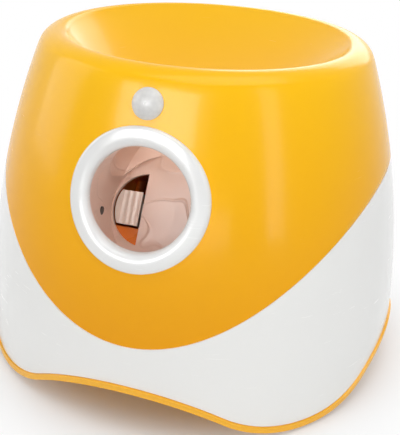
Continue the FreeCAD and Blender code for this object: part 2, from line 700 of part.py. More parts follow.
for i, (sx, sy) in enumerate(side_signs):
    pan_tools.append(rod("pan_clear_%d" % i, "screw_radius + fit_gap", "20", "%d * pan_boss" % sx,
                         "%d * pan_boss" % sy, "crown_height - 10"))
    pan_tools.append(rod("pan_sink_%d" % i, "screw_head + fit_gap", "10 + head_sink",
                         "%d * pan_boss" % sx, "%d * pan_boss" % sy, "crown_height - 10"))
stand_bosses = [(x, y) for x in (-size("box_left") + size("stand_left") + size("stand_thick") / 2,
                                 size("box_right") - size("stand_right") - size("stand_thick") / 2)
                for y in (-66.0, -20.0)]
for i, (x, y) in enumerate(stand_bosses):
    pan_tools.append(rod("stand_clear_%d" % i, "screw_radius + fit_gap", "40", repr(x), repr(y), "0"))
for sx in (-1, 1):
    pin_hole = rod("door_pin_hole", "door_pin + pivot_gap", "bay_wall + 2", turn=RIGHT)
    at(pin_hole, "bay_half_wide - 1" if sx > 0 else "-bay_half_wide - bay_wall - 1",
       "bay_middle - bay_half_deep + door_thick", "door_top - door_thick / 2")
    pan_tools.append(pin_hole)
door_ledge = block("door_ledge", "40", "bay_wall + 2", "bay_top - door_top", "-20",
                   "bay_middle + bay_half_deep - 2", "door_top")
pan_blank = less("pan_blank", joined("pan_whole", [pan_skin, bay_frame]), pan_room)
pan_cut = less("pan_cut", pan_blank, joined("pan_holes", pan_tools))
keep("base_pan", joined("base_pan_joined", [pan_cut, door_ledge]))

pads = []
for i, (sx, sy) in enumerate(corner_signs):
    pads.append(rod("pad_%d" % i, "foot_radius", "foot_gap + foot_sunk",
                    "%d * foot_place" % sx, "%d * foot_place" % sy, "0"))
keep("rubber_feet", group("pads", pads))

# Port ring: rounded bezel whose skirt follows the barrel, with a spigot through the wall
ring_body = turned("ring_body", [
    ("ring_bore", "-spigot_length"),
    ("ring_bore + spigot_wall", "-spigot_length"),
    ("ring_bore + spigot_wall", "-ring_skirt"),
    ("ring_radius", "-ring_skirt"),
    ("ring_radius", "ring_proud - ring_edge", "ring_edge"),
    ("ring_radius - ring_edge", "ring_proud"),
    ("ring_bore + ring_mouth", "ring_proud", "ring_mouth"),
    ("ring_bore", "ring_proud - ring_mouth"),
])
ring_body.Placement = ring_place
spigot = turned("spigot", [
    ("ring_bore", "-spigot_length"),
    ("ring_bore + spigot_wall", "-spigot_length"),
    ("ring_bore + spigot_wall", "0.5"),
    ("ring_bore", "0.5"),
])
spigot.Placement = ring_place
ring_skirt = less("ring_skirt_cut", ring_body, barrel_core("barrel_solid", 0.0, 60, 200))
keep("port_ring", joined("port_ring_joined", [ring_skirt, spigot]))

# Launch tube: flared tube with its end wall and window, and the duct under the throat
flare = (size("tube_end") - size("tube_mouth")) / size("tube_length")
tube_front = -size("tube_reach")
tube_back = derive("tube_back", size("tube_length") + size("end_wall"))
duct_top = derive("duct_top", size("throat_height") - size("bowl_drop") - size("fit_gap"))


def flared(name, outward, start, stop):
    """A piece of the tube's cone, widened evenly, along the tube."""
    cone = Part.makeCone(size("tube_mouth") + flare * start + outward,
                         size("tube_mouth") + flare * stop + outward,
                         stop - start, Vector(0, start, 0), Vector(0, 1, 0))
    cone.Placement = launch_place
    return solid(name, cone)


floor_edge = launch(0, size("tube_length"), size("tube_end"))


def duct(name, radius, under, top):
    """The upright oblong duct above the sloping floor that leads to the tube."""
    low = size("duct_foot")
    front = Vector(0, -size("duct_front"), low)
    back = Vector(0, -size("throat_shift"), low)
    form = Part.makeCylinder(radius, top - low, front)
    form = form.fuse(Part.makeCylinder(radius, top - low, back))
    form = form.fuse(Part.makeBox(2 * radius, back.y - front.y, top - low,
                                  front + Vector(-radius, 0, 0)))
    slab = Part.makeBox(4 * radius, 300, 200, Vector(-2 * radius, -150, -200))
    turn = Rotation(Vector(1, 0, 0), size("duct_slope"))
    slab.Placement = Placement(floor_edge + Vector(0, 0, -under), turn)
    return solid(name, form.cut(slab))


slope_wall = size("tube_wall") / math.cos(math.radians(size("duct_slope")))
tube_outside = joined("tube_outside", [
    flared("tube_cone", size("tube_wall"), tube_front, tube_back),
    duct("duct_outside", size("duct_radius") + size("tube_wall"), slope_wall, duct_top)])
tube_inside = joined("tube_inside", [
    flared("tube_bore", 0.0, tube_front - 1, size("tube_length")),
    duct("duct_bore", size("duct_radius"), 0.0, duct_top + 1)])
window_disc = Part.makeCylinder(size("window_radius"), size("end_wall") + 2,
                                Vector(-size("window_shift"), size("tube_length") - 1, 0),
                                Vector(0, 1, 0))
window_side = Part.makeBox(80, size("end_wall") + 4, 120,
                           Vector(-size("window_edge") - 80, size("tube_length") - 2, -60))
window = window_disc.common(window_side)
window.Placement = launch_place
tube_cut = less("tube_cut", tube_outside, joined("tube_tools", [tube_inside, solid("window", window)]))
tube_trim = overlap("tube_trim", tube_cut, barrel_core("tube_limit", wall + size("play_gap"), 40, 190))
spigot_room = rod("spigot_room", "ring_bore + spigot_wall + fit_gap", "spigot_length * 2",
                  place=local(ring_place, 0, 0, -size("spigot_length") - size("fit_gap")))
eye_along = size("tube_length") - size("eye_back")
eye_holes = []
for sx in (-1, 1):
    hole = Part.makeCylinder(size("eye_radius") + size("fit_gap") / 2, 12,
                             Vector(sx * (size("tube_end") - 8), eye_along, -size("eye_drop")),
                             Vector(sx, 0, 0))
    hole.Placement = launch_place
    eye_holes.append(solid("eye_hole", hole))
    pilot = Part.makeCylinder(size("small_pilot"), size("end_wall"),
                              Vector(sx * size("apron_screw_x"), size("tube_length") + 0.4,
                                     -size("apron_screw_drop")), Vector(0, 1, 0))
    pilot.Placement = launch_place
    eye_holes.append(solid("apron_pilot", pilot))
keep("launch_tube", less("launch_tube_cut", tube_trim, joined("tube_holes", [spigot_room] + eye_holes)))

# Ball sensor: an emitter and a receiver look across the pocket
for sx, name in ((-1, "ball_sensor_emitter"), (1, "ball_sensor_receiver")):
    stem = Part.makeCylinder(size("eye_radius"), size("eye_long"),
                             Vector(sx * (size("tube_end") - 3), eye_along, -size("eye_drop")),
                             Vector(sx, 0, 0))
    wide = size("eye_flange")
    flat = size("eye_flange_thick")
    flange = Part.makeBox(flat, wide, wide,
                          Vector(sx * (size("tube_end") + 4) - flat / 2, eye_along - wide / 2,
                                 -size("eye_drop") - wide / 2))
    keep(name, solid(name + "_form", stem.fuse(flange)), launch_place)


# Gear teeth
def gear_face(teeth, module, phase, cut=None, play=None):
    """Involute gear outline with a tooth at the angle phase, only cut teeth if asked."""
    play = size("tooth_backlash") / 2 if play is None else play
    pressure = math.radians(size("pressure_angle"))
    pitch_r = teeth * module / 2
    base_r = pitch_r * math.cos(pressure)
    tip_r = pitch_r + module
    root_r = pitch_r - 1.25 * module
    involute = math.tan(pressure) - pressure
    half = math.pi / (2 * teeth) - play / (2 * pitch_r)

    def flank_angle(radius):
        if radius <= base_r:
            return half + involute
        lean_at = math.acos(base_r / radius)
        return half + involute - (math.tan(lean_at) - lean_at)

    def spot(radius, angle):
        return Vector(radius * math.cos(angle), radius * math.sin(angle), 0)

    start_r = max(base_r, root_r)
    radii = [start_r, (start_r + tip_r) / 2, tip_r]
    edges = []
    count = cut or teeth
    first = -(count - 1) / 2
    step = 2 * math.pi / teeth
    for k in range(count):
        middle = phase + (first + k) * step
        rising = [spot(r, middle - flank_angle(r)) for r in radii]
        falling = [spot(r, middle + flank_angle(r)) for r in reversed(radii)]
        root_in = spot(root_r, middle - flank_angle(start_r))
        root_out = spot(root_r, middle + flank_angle(start_r))
        if start_r > root_r + 1e-6:
            edges.append(Part.LineSegment(root_in, rising[0]).toShape())
        edges.append(Part.Arc(*rising).toShape())
        edges.append(Part.Arc(rising[-1], spot(tip_r, middle), falling[0]).toShape())
        edges.append(Part.Arc(*falling).toShape())
        if start_r > root_r + 1e-6:
            edges.append(Part.LineSegment(falling[-1], root_out).toShape())
        following = middle + step
        gap_end = following - flank_angle(start_r)
        gap_start = middle + flank_angle(start_r)
        if k == count - 1:
            gap_end = phase + first * step - flank_angle(start_r) + 2 * math.pi
        edges.append(Part.Arc(root_out, spot(root_r, (gap_start + gap_end) / 2),
                              spot(root_r, gap_end)).toShape())
    return Part.Face(Part.Wire(edges))


def gear_solid(teeth, module, phase, low, high, cut=None):
    """A spur gear between two levels."""
    face = gear_face(teeth, module, phase, cut)
    face.translate(Vector(0, 0, low))
    return face.extrude(Vector(0, 0, high - low))


def drum(radius, low, high, x=0.0, y=0.0):
    return Part.makeCylinder(radius, high - low, Vector(x, y, low))


def shifted(shape, spot):
    copy = shape.copy()
    copy.translate(Vector(spot.x, spot.y, 0))
    return copy


def toward(spot, angle, distance):
    turn = math.radians(angle)
    return spot + Vector(distance * math.cos(turn), distance * math.sin(turn), 0)


# Places of the shafts, in the plane across the launch tube: x, then along the tube
pivot = Vector(size("kicker_x"), size("kicker_depth"), 0)
segment_pitch = size("segment_teeth") * size("segment_module") / 2
wheel = int(size("wheel_teeth"))
pinion = int(size("pinion_teeth"))
segment = int(size("segment_teeth"))
pair = (wheel + pinion) / 2
sector_spot = toward(pivot, size("sector_angle"), 2 * segment_pitch)
slow_spot = toward(sector_spot, size("slow_angle"), pair * size("slow_module"))
middle_spot = toward(slow_spot, size("middle_angle"), pair * size("middle_module"))
motor_spot = toward(middle_spot, size("fast_angle"), pair * size("fast_module"))
tooth = 2 * math.pi / segment
pinion_tooth = 2 * math.pi / pinion
floor_top = -size("box_floor")
ceiling = size("box_ceiling")
arm = size("arm_half")
level_1 = arm + size("gear_gap")
level_2 = level_1 + size("gear_width") + size("gear_gap")
level_3 = level_2 + size("gear_width") + size("gear_gap")
hub_gap = size("play_gap")

# Kicker: fluted head swung through the window by an arm, with its toothed segment
face_depth = size("tube_length") - size("kicker_reach")
head_inner = math.hypot(size("kicker_x") + size("window_edge"),
                        size("kicker_depth") - face_depth) + size("head_gap")
edge_x = size("window_shift") + size("window_radius")
head_outer = math.hypot(size("kicker_x") + edge_x, size("kicker_depth") - tube_back) - size("head_gap")
high = size("head_half")
side_x = size("window_shift") + math.sqrt(size("window_radius") ** 2 - high ** 2)
head_corner = math.hypot(size("kicker_x") + side_x, size("kicker_depth") - tube_back) - size("head_gap")
section = [Vector(-head_inner, 0, -high), Vector(-head_corner, 0, -high),
           Vector(-head_outer, 0, 0), Vector(-head_corner, 0, high), Vector(-head_inner, 0, high)]
edges = [Part.LineSegment(section[0], section[1]).toShape(),
         Part.Arc(section[1], section[2], section[3]).toShape(),
         Part.LineSegment(section[3], section[4]).toShape(),
         Part.LineSegment(section[4], section[0]).toShape()]
head = Part.Face(Part.Wire(edges)).revolve(Vector(), Vector(0, 0, 1), 60)
head.rotate(Vector(), Vector(0, 0, 1), -12)
head.translate(pivot)
right_end = Vector(pivot.x - math.sqrt(head_inner ** 2 - (pivot.y - face_depth) ** 2),
                   face_depth, 0)
slab = Part.makeBox(80, size("head_long"), 60, Vector(-80, 0, -30))
slab.Placement = Placement(right_end, Rotation(Vector(0, 0, 1), -size("head_yaw")))
head = head.common(slab)
flutes = int(size("flute_count"))
face_wide = head_outer - head_inner
for i in range(flutes):
    across = face_wide * (i + 0.75) / (flutes + 0.5)
    flute = Part.makeCylinder(size("flute_radius"), 4 * high, Vector(-across, -0.7, -2 * high))
    flute.Placement = Placement(right_end, Rotation(Vector(0, 0, 1), -size("head_yaw")))
    head = head.cut(flute)
hub = size("kicker_hub")
arm_end = pivot.x - head_inner - size("arm_into")
arm_spots = [Vector(pivot.x, pivot.y - hub, -arm), Vector(pivot.x, pivot.y + hub, -arm),
             Vector(arm_end, pivot.y + size("arm_root"), -arm),
             Vector(arm_end, pivot.y - size("arm_front"), -arm),
             Vector(pivot.x, pivot.y - hub, -arm)]
arm_form = Part.Face(Part.makePolygon(arm_spots)).extrude(Vector(0, 0, 2 * arm))
segment_turn = math.radians(size("sector_angle")) + tooth
segment_teeth = gear_solid(segment, size("segment_module"), segment_turn, -arm, arm - 1,
                           int(size("kicker_teeth")))
segment_half = Part.makeBox(4 * segment_pitch, 2 * segment_pitch, 2 * arm,
                            Vector(-2 * segment_pitch, -size("segment_front"), -arm))
segment_teeth = shifted(segment_teeth.common(segment_half), pivot)
hub_form = drum(hub, floor_top + hub_gap, level_2 - size("gear_gap"), pivot.x, pivot.y)
kicker = head.fuse([arm_form, segment_teeth, hub_form])
kicker = kicker.cut(drum(size("kicker_pin") + size("pivot_gap"), -40, 60, pivot.x, pivot.y))
keep("kicker", solid("kicker_form", kicker), launch_place)

# Kicker pin, spring and rubber stop
pin_form = drum(size("kicker_pin"), floor_top - size("box_wall"), ceiling + size("box_wall"),
                pivot.x, pivot.y)
keep("kicker_pin", solid("kicker_pin_form", pin_form), launch_place)
wire = size("spring_wire")
coil = size("spring_radius")
turns = int(size("spring_turns"))
spring_low = level_2 - size("gear_gap") + wire + hub_gap
rise = (ceiling - spring_low - wire - hub_gap) / turns
arcs = []
for quarter in range(4 * turns):
    spots = []
    for part in range(3):
        turn = math.pi / 2 * (quarter + part / 2)
        spots.append(Vector(coil * math.cos(turn), coil * math.sin(turn),
                            rise * (quarter + part / 2) / 4))
    arcs.append(Part.Arc(*spots).toShape())
path = Part.Wire(arcs)
section = Part.Wire(Part.Circle(path.Vertexes[0].Point, Vector(0, 1, 0), wire).toShape())
coil_form = path.makePipeShell([section], True, False)
coil_form.translate(Vector(pivot.x, pivot.y, spring_low))
keep("kicker_spring", solid("kicker_spring_form", coil_form), launch_place)
bumper = Part.makeBox(size("bumper_wide"), size("bumper_high"), 2 * arm - 1,
                      Vector(-size("bumper_x") - size("bumper_wide") / 2, tube_back, -arm + 0.5))
keep("kicker_bumper", solid("kicker_bumper_form", bumper), launch_place)

# Sector gear: full wheel below the toothed segment that winds the kicker
mesh_turn = math.radians(size("sector_angle")) + math.pi
sector_phase = mesh_turn + tooth / 2
cut_count = int(size("cut_teeth"))
sector_form = gear_solid(segment, size("segment_module"), sector_phase, -arm, arm - 1, cut_count)
slow_turn = math.radians(size("slow_angle"))
sector_form = sector_form.fuse([
    gear_solid(wheel, size("slow_module"), slow_turn, level_1, level_1 + size("gear_width")),
    drum(size("sector_axle_radius") + 3, floor_top + hub_gap, level_1 + size("gear_width") + 1),
])
sector_form = sector_form.cut(drum(size("sector_axle_radius") + size("pivot_gap"), -40, 60))
keep("sector_gear", solid("sector_gear_form", shifted(sector_form, sector_spot)), launch_place)

# Slow compound gear: its pinion drives the sector gear's wheel
slow_phase = slow_turn + math.pi + pinion_tooth / 2
middle_turn = math.radians(size("middle_angle"))
slow_form = gear_solid(pinion, size("slow_module"), slow_phase, level_1,
                       level_1 + size("gear_width"))
slow_form = slow_form.fuse([
    gear_solid(wheel, size("middle_module"), middle_turn, level_2, level_2 + size("gear_width")),
    drum(size("axle_radius") + 1.6, floor_top + hub_gap, level_2 + size("gear_width") + 1),
    drum(size("axle_radius") + 2.4, level_1 + size("gear_width") - 0.1, level_2 + 0.1),
])
slow_form = slow_form.cut(drum(size("axle_radius") + size("pivot_gap"), -40, 60))
keep("compound_gear_slow", solid("compound_gear_slow_form", shifted(slow_form, slow_spot)),
     launch_place)

# Fast compound gear: driven by the motor's pinion
middle_phase = middle_turn + math.pi + pinion_tooth / 2
fast_turn = math.radians(size("fast_angle"))
fast_form = gear_solid(pinion, size("middle_module"), middle_phase, level_2,
                       level_2 + size("gear_width"))
fast_form = fast_form.fuse([
    gear_solid(wheel, size("fast_module"), fast_turn, level_3, ceiling - hub_gap - 1),
    drum(size("axle_radius") + 1.4, floor_top + hub_gap, ceiling - hub_gap),
    drum(size("axle_radius") + 2.0, level_2 + size("gear_width") - 0.1, level_3 + 0.1),
])
fast_form = fast_form.cut(drum(size("axle_radius") + size("pivot_gap"), -40, 60))
keep("compound_gear_fast", solid("compound_gear_fast_form", shifted(fast_form, middle_spot)),
     launch_place)

# Motor pinion on the motor's shaft
motor_phase = fast_turn + math.pi + pinion_tooth / 2
box_top = ceiling + size("box_wall")
shaft_end = box_top + size("shaft_in_motor")
pinion_form = gear_solid(pinion, size("fast_module"), motor_phase, level_3, ceiling - hub_gap - 1)
pinion_form = pinion_form.fuse(drum(size("shaft_radius"), level_3 - 1, shaft_end))
keep("motor_pinion", solid("motor_pinion_form", shifted(pinion_form, motor_spot)), launch_place)

for name, spot, radius in (("sector_axle", sector_spot, size("sector_axle_radius")),
                           ("gear_axle_slow", slow_spot, size("axle_radius")),
                           ("gear_axle_fast", middle_spot, size("axle_radius"))):
    shaft = drum(radius, floor_top - size("box_wall"), box_top, spot.x, spot.y)
    keep(name, solid(name + "_form", shaft), launch_place)
shafts = [drum(size("kicker_pin"), -60, 60, pivot.x, pivot.y),
          drum(size("sector_axle_radius"), -60, 60, sector_spot.x, sector_spot.y),
          drum(size("axle_radius"), -60, 60, slow_spot.x, slow_spot.y),
          drum(size("axle_radius"), -60, 60, middle_spot.x, middle_spot.y)]

# Motor: closed can with a flat side, seated on the gearbox cover
can = drum(size("motor_radius"), box_top, box_top + size("motor_length"))
flat_half = size("motor_radius") - size("motor_flat")
flats = Part.makeBox(60, 2 * flat_half, 60, Vector(-30, -flat_half, box_top - 1))
can = can.common(flats)
can_end = box_top + size("motor_length")
can = can.fuse(drum(size("motor_boss"), can_end - 0.1, can_end + size("motor_boss_high")))
can = can.cut(drum(size("shaft_radius") + size("pivot_gap"), box_top - 1, shaft_end + 0.5))
motor_holes = []
motor_screws = []
for sx in (-1, 1):
    spot = Vector(0, sx * size("motor_screw_place"), 0)
    motor_holes.append(drum(size("motor_screw"), box_top - 10, box_top + 4, spot.x, spot.y))
    screw = drum(size("motor_screw"), ceiling - 0.2, box_top + 3.5, spot.x, spot.y)
    screw = screw.fuse(drum(size("motor_head"), ceiling - size("motor_head_high"), ceiling,
                            spot.x, spot.y))
    motor_screws.append(shifted(screw, motor_spot))
can = can.cut(Part.makeCompound(motor_holes))
keep("motor", solid("motor_form", shifted(can, motor_spot)), launch_place)
keep("motor_screws", solid("motor_screws_form", Part.makeCompound(motor_screws)), launch_place)

# Gearbox base: open box with an apron that closes the lower part of the window's rear
left, right = -size("box_left"), size("box_right")
back = size("box_back")
thick = size("box_wall")
front = tube_back
box_form = Part.makeBox(right - left, back - front, ceiling - floor_top + thick,
                        Vector(left, front, floor_top - thick))
box_room = Part.makeBox(right - left - 2 * thick, back - front - thick + 5,
                        ceiling - floor_top + 5, Vector(left + thick, front - 5, floor_top))
box_form = box_form.cut(box_room)
apron_form = Part.makeBox(2 * size("apron_half"), thick, size("apron_drop"),
                          Vector(-size("apron_half"), front, floor_top - thick
                                 - size("apron_drop") + 0.5))
inset = thick + size("corner_inset")
corner_spots = [Vector(x, along, 0) for x in (left + inset, right - inset)
                for along in (front + inset, back - inset)]
box_form = box_form.fuse([apron_form] + [drum(size("corner_boss"), floor_top - 0.1, ceiling,
                                              spot.x, spot.y) for spot in corner_spots])
pilots = [drum(size("small_pilot"), ceiling - 12, ceiling + 1, spot.x, spot.y)
          for spot in corner_spots]
apron_spots = [Vector(sx * size("apron_screw_x"), 0, -size("apron_screw_drop")) for sx in (-1, 1)]
apron_holes = [Part.makeCylinder(size("small_clear"), 20, Vector(spot.x, front - 4, spot.z), Vector(0, 1, 0))
               for spot in apron_spots]
web_left = left + size("stand_left")
web_right = right - size("stand_right") - size("stand_thick")
bracket_spots = [Vector(x + size("stand_thick") / 2, along, 0) for x in (web_left, web_right)
                 for along in (size("lug_front"), size("lug_back"))]
bracket_holes = [drum(size("small_pilot"), floor_top - 30, floor_top + 5, spot.x, spot.y)
                 for spot in bracket_spots]
box_form = box_form.cut(Part.makeCompound(pilots + apron_holes + bracket_holes + shafts))
keep("gearbox_base", solid("gearbox_base_form", box_form), launch_place)

gap = size("fit_gap")
cover_form = Part.makeBox(right - left - 2 * (thick + gap), back - front - thick - gap, thick,
                          Vector(left + thick + gap, front, ceiling))
cover_holes = [drum(size("small_clear"), ceiling - 1, box_top + 1, spot.x, spot.y) for spot in corner_spots]
cover_holes += [shifted(hole, motor_spot) for hole in motor_holes]
cover_holes.append(drum(size("shaft_radius") + 0.6, ceiling - 1, box_top + 1,
                        motor_spot.x, motor_spot.y))
cover_form = cover_form.cut(Part.makeCompound(cover_holes + shafts))
keep("gearbox_cover", solid("gearbox_cover_form", cover_form), launch_place)
cover_screws = []
for spot in corner_spots:
    screw = drum(size("small_pilot"), ceiling - 9, box_top + 0.1, spot.x, spot.y)
    cover_screws.append(screw.fuse(drum(size("small_head"), box_top,
                                        box_top + size("small_head_high"), spot.x, spot.y)))
keep("gearbox_screws", solid("gearbox_screws_form", Part.makeCompound(cover_screws)), launch_place)
tube_screws = []
for spot in apron_spots:
    shank = Part.makeCylinder(size("small_pilot"), thick + size("end_wall") - 0.4,
                              Vector(spot.x, tube_back - size("end_wall") + 0.4, spot.z), Vector(0, 1, 0))
    head_form = Part.makeCylinder(size("small_head"), size("small_head_high"), Vector(spot.x, front + thick, spot.z), Vector(0, 1, 0))
    tube_screws.append(shank.fuse(head_form))
keep("tube_screws", solid("tube_screws_form", Part.makeCompound(tube_screws)), launch_place)

# Home switch beside the sector gear
switch_face = back - thick - size("switch_deep")
switch_form = Part.makeBox(size("switch_long"), size("switch_deep"), size("switch_high"),
                           Vector(sector_spot.x - 8, switch_face, floor_top))
switch_form = switch_form.fuse(Part.makeBox(3, 1.2, 3, Vector(sector_spot.x - 3, switch_face - 1.2,
                                                              floor_top + 4)))
keep("home_switch", solid("home_switch_form", switch_form), launch_place)

# Stand: two gusset webs and a cross web carry the gearbox on the pan
def upright(x_low, x_high):
    """A web whose upper edge follows the gearbox floor."""
    under = floor_top - thick
    crown = [launch(0, front + 2, under), launch(0, back - 2, under)]
    spots = [crown[0], crown[1], Vector(0, crown[1].y + 3, 4), Vector(0, crown[0].y - 3, 4)]
    ring = [Vector(x_low, p.y, p.z) for p in spots]
    return Part.Face(Part.makePolygon(ring + ring[:1])).extrude(Vector(x_high - x_low, 0, 0))


web_thick = size("stand_thick")
stand_form = upright(web_left, web_left + web_thick)
web_y = launch(0, (front + back) / 2, floor_top - thick).y
cross = Part.makeBox(web_right - web_left + web_thick, web_thick, 60, Vector(web_left, web_y, 4))
under_box = Part.makeBox(400, 400, 200, Vector(-200, -200, floor_top - thick))
under_box.Placement = launch_place
stand_form = stand_form.fuse([upright(web_right, web_right + web_thick), cross])
lugs = [drum(size("lug_radius"), floor_top - thick - size("lug_long"), floor_top - thick, spot.x, spot.y)
        for spot in bracket_spots]
for lug in lugs:
    lug.Placement = launch_place
stand_form = stand_form.fuse(lugs).cut(under_box)
holes = [drum(size("small_pilot"), floor_top - 12, floor_top, spot.x, spot.y)
         for spot in bracket_spots]
for hole in holes:
    hole.Placement = launch_place
stand_form = stand_form.fuse([drum(size("stand_boss"), 4, size("stand_boss_high"), x, y)
                              for x, y in stand_bosses])
holes += [drum(size("screw_radius"), 0, size("stand_boss_high") - 4, x, y) for x, y in stand_bosses]
stand_form = stand_form.cut(Part.makeCompound(holes))
stand = less("stand_cut", solid("stand_form", stand_form), arches("stand_seat", size("pan_thick")))
keep("gearbox_stand", stand)
stand_screws = []
for spot in bracket_spots:
    screw = drum(size("small_pilot"), floor_top - 10, floor_top + 0.1, spot.x, spot.y)
    stand_screws.append(screw.fuse(drum(size("small_head"), floor_top,
                                        floor_top + size("small_head_high"), spot.x, spot.y)))
keep("stand_screws", solid("stand_screws_form", Part.makeCompound(stand_screws)), launch_place)

# Motion sensor lens, its sensor and board
derive("lens_arc", (size("lens_radius") ** 2 + size("lens_dome") ** 2) / (2 * size("lens_dome")))
lens = turned("lens_turned", [
    ("0", "-lens_depth"),
    ("lens_stem", "-lens_depth"),
    ("lens_stem", "0.3"),
    ("lens_radius", "0.3"),
    ("lens_radius", "1", "lens_arc"),
    ("0", "1 + lens_dome"),
])
lens.Placement = lens_place
keep("sensor_lens", lens)
sensor = drum(size("sensor_radius"), lens_board, lens_board + size("sensor_high"))
keep("motion_sensor", solid("motion_sensor_form", sensor), lens_place)
board_half = lens_post_x + size("lens_post_gap")
sensor_board = Part.makeBox(2 * board_half, 18, size("board_thick"),
                            Vector(-board_half, -9, lens_board - size("board_thick")))
keep("sensor_board", solid("sensor_board_form", sensor_board), lens_place)

# Rear panel: curved plate in the upper shell, held by a lip behind the wall
panel_z = size("panel_height")
panel_wall = derive("panel_wall", barrel(panel_z))
panel_place = Placement(Vector(0, panel_wall, panel_z), Rotation(Vector(0, 0, 1), 180)).multiply(
    Placement(Vector(), Rotation(Vector(1, 0, 0), 90 - lean(panel_z))))


def panel_drop(x):
    """How far the round wall lies in front of the panel's middle plane."""
    return panel_wall - math.sqrt(panel_wall ** 2 - x ** 2)


low = -size("button_drop")
board_front = -size("board_back")
button_spot = Vector(size("button_x"), low, 0)
jack_spot = Vector(size("jack_x"), low, 0)
light_spots = [Vector((i - (size("light_count") - 1) / 2) * size("light_pitch"),
                      size("light_rise"), 0) for i in range(int(size("light_count")))]
post_spots = [Vector(sx * size("board_post_x"), low, 0) for sx in (-1, 1)]
plate = overlap("panel_plate", shell_ring("panel_ring", -size("panel_proud"), wall, 60, 130),
                panel_slab("panel_block", "0"))
lip_plate = overlap("panel_lip", shell_ring("panel_lip_ring", wall, wall + 1.6, 60, 130),
                    panel_slab("panel_lip_block", "3"))
inside = -wall - 1.0
collars = [drum(size("button_radius") + size("collar_wall"), -size("button_seat"), inside,
                button_spot.x, button_spot.y),
           drum(size("jack_radius") + size("collar_wall"), -size("button_seat"), inside,
                jack_spot.x, jack_spot.y)]
collars += [drum(size("lug_radius"), board_front, inside, spot.x, spot.y) for spot in post_spots]
bores = [drum(size("button_radius") + size("button_gap"), -20, 10, button_spot.x, button_spot.y),
         drum(size("jack_radius") + size("fit_gap"), -20, 10, jack_spot.x, jack_spot.y)]
bores += [drum(size("light_radius") + 0.1, -20, 10, spot.x, spot.y) for spot in light_spots]
bores += [drum(size("small_pilot"), board_front - 1, board_front + 8, spot.x, spot.y)
          for spot in post_spots]
collar_form = solid("panel_collars", Part.makeCompound(collars))
bore_form = solid("panel_bores", Part.makeCompound(bores))
for thing in (collar_form, bore_form):
    thing.Placement = panel_place
panel = less("rear_panel_cut", joined("rear_panel_whole", [plate, lip_plate, collar_form]), bore_form)
keep("rear_panel", panel)

# Power button with its plunger, and the switch on the board
button_top = size("panel_proud") + size("button_proud") - panel_drop(size("button_x"))
derive("button_top", button_top)
button = turned("button_turned", [
    ("0", "-button_seat - 4.2"),
    ("button_plunger", "-button_seat - 4.2"),
    ("button_plunger", "-button_seat - 1.2"),
    ("button_radius + button_flange", "-button_seat - 1.2"),
    ("button_radius + button_flange", "-button_seat"),
    ("button_radius", "-button_seat"),
    ("button_radius", "button_top - 1", "1"),
    ("button_radius - 1", "button_top"),
    ("0", "button_top"),
])
keep("power_button", button, panel_place.multiply(Placement(button_spot, Rotation())))
switch_front = -size("button_seat") - 2.6
switch = Part.makeBox(7, 7, switch_front - board_front,
                      Vector(button_spot.x - 3.5, button_spot.y - 3.5, board_front))
switch = switch.cut(drum(size("button_plunger") + size("button_gap"), board_front + 0.5, 0,
                         button_spot.x, button_spot.y))
keep("button_switch", solid("button_switch_form", switch), panel_place)

# Indicator lights: light pipes from the board to the panel's face
pipes = []
for spot in light_spots:
    tip = size("panel_proud") - panel_drop(spot.x)
    pipe = drum(size("light_radius"), board_front, tip, spot.x, spot.y)
    cap = Part.makeSphere(size("light_radius"), Vector(spot.x, spot.y, tip - 0.4))
    pipes.append(pipe.fuse(cap))
keep("indicator_lights", solid("indicator_lights_form", Part.makeCompound(pipes)), panel_place)

# Power jack
jack_face = -0.3
jack = drum(size("jack_radius"), -size("button_seat"), jack_face, jack_spot.x, jack_spot.y)
half = size("jack_half")
jack = jack.fuse(Part.makeBox(2 * half, 2 * half, size("board_back") - size("button_seat"),
                              Vector(jack_spot.x - half, jack_spot.y - half, board_front)))
jack = jack.cut(drum(size("jack_bore"), -11, 1, jack_spot.x, jack_spot.y))
jack = jack.fuse(drum(size("jack_pin"), -11.5, -1.5, jack_spot.x, jack_spot.y))
keep("power_jack", solid("power_jack_form", jack), panel_place)

# Main board on the panel's two posts, with the sounder behind it
board_low = board_front - size("board_thick")
board = Part.makeBox(2 * size("board_half_wide"), 2 * size("board_half_high"), size("board_thick"),
                     Vector(-size("board_half_wide"), -size("board_half_high"), board_low))
board = board.cut(Part.makeCompound([drum(size("small_clear"), board_low - 1, board_front + 1,
                                          spot.x, spot.y) for spot in post_spots]))
keep("main_board", solid("main_board_form", board), panel_place)
sounder = drum(size("sounder_radius"), board_low - size("sounder_high"), board_low, 2, 2)
sounder = sounder.cut(drum(1.2, board_low - size("sounder_high") - 1, board_low - 2, 2, 2))
keep("sounder", solid("sounder_form", sounder), panel_place)
board_screws = []
for spot in post_spots:
    screw = drum(size("small_pilot"), board_low - 0.1, board_front + 6, spot.x, spot.y)
    board_screws.append(screw.fuse(drum(size("small_head"), board_low - size("small_head_high"),
                                        board_low, spot.x, spot.y)))
keep("board_screws", solid("board_screws_form", Part.makeCompound(board_screws)), panel_place)

# Battery tray: open box upside down on the bay's frame
cell = size("cell_radius")
cell_axis = derive("cell_axis", size("door_top") + 0.3 + cell)
tray_top = derive("tray_top", cell_axis + cell + 0.3)
bay_y = size("bay_middle")
tray_outside = block("tray_outside", "2 * (bay_half_wide + bay_wall)",
                     "2 * (bay_half_deep + bay_wall)", "tray_top + bay_wall - bay_top",
                     "-bay_half_wide - bay_wall", "bay_middle - bay_half_deep - bay_wall", "bay_top")
tray_room = block("tray_room", "2 * bay_half_wide", "2 * bay_half_deep", "tray_top - bay_top + 1",
                  "-bay_half_wide", "bay_middle - bay_half_deep", "bay_top - 1")
keep("battery_tray", less("battery_tray_cut", tray_outside, tray_room))

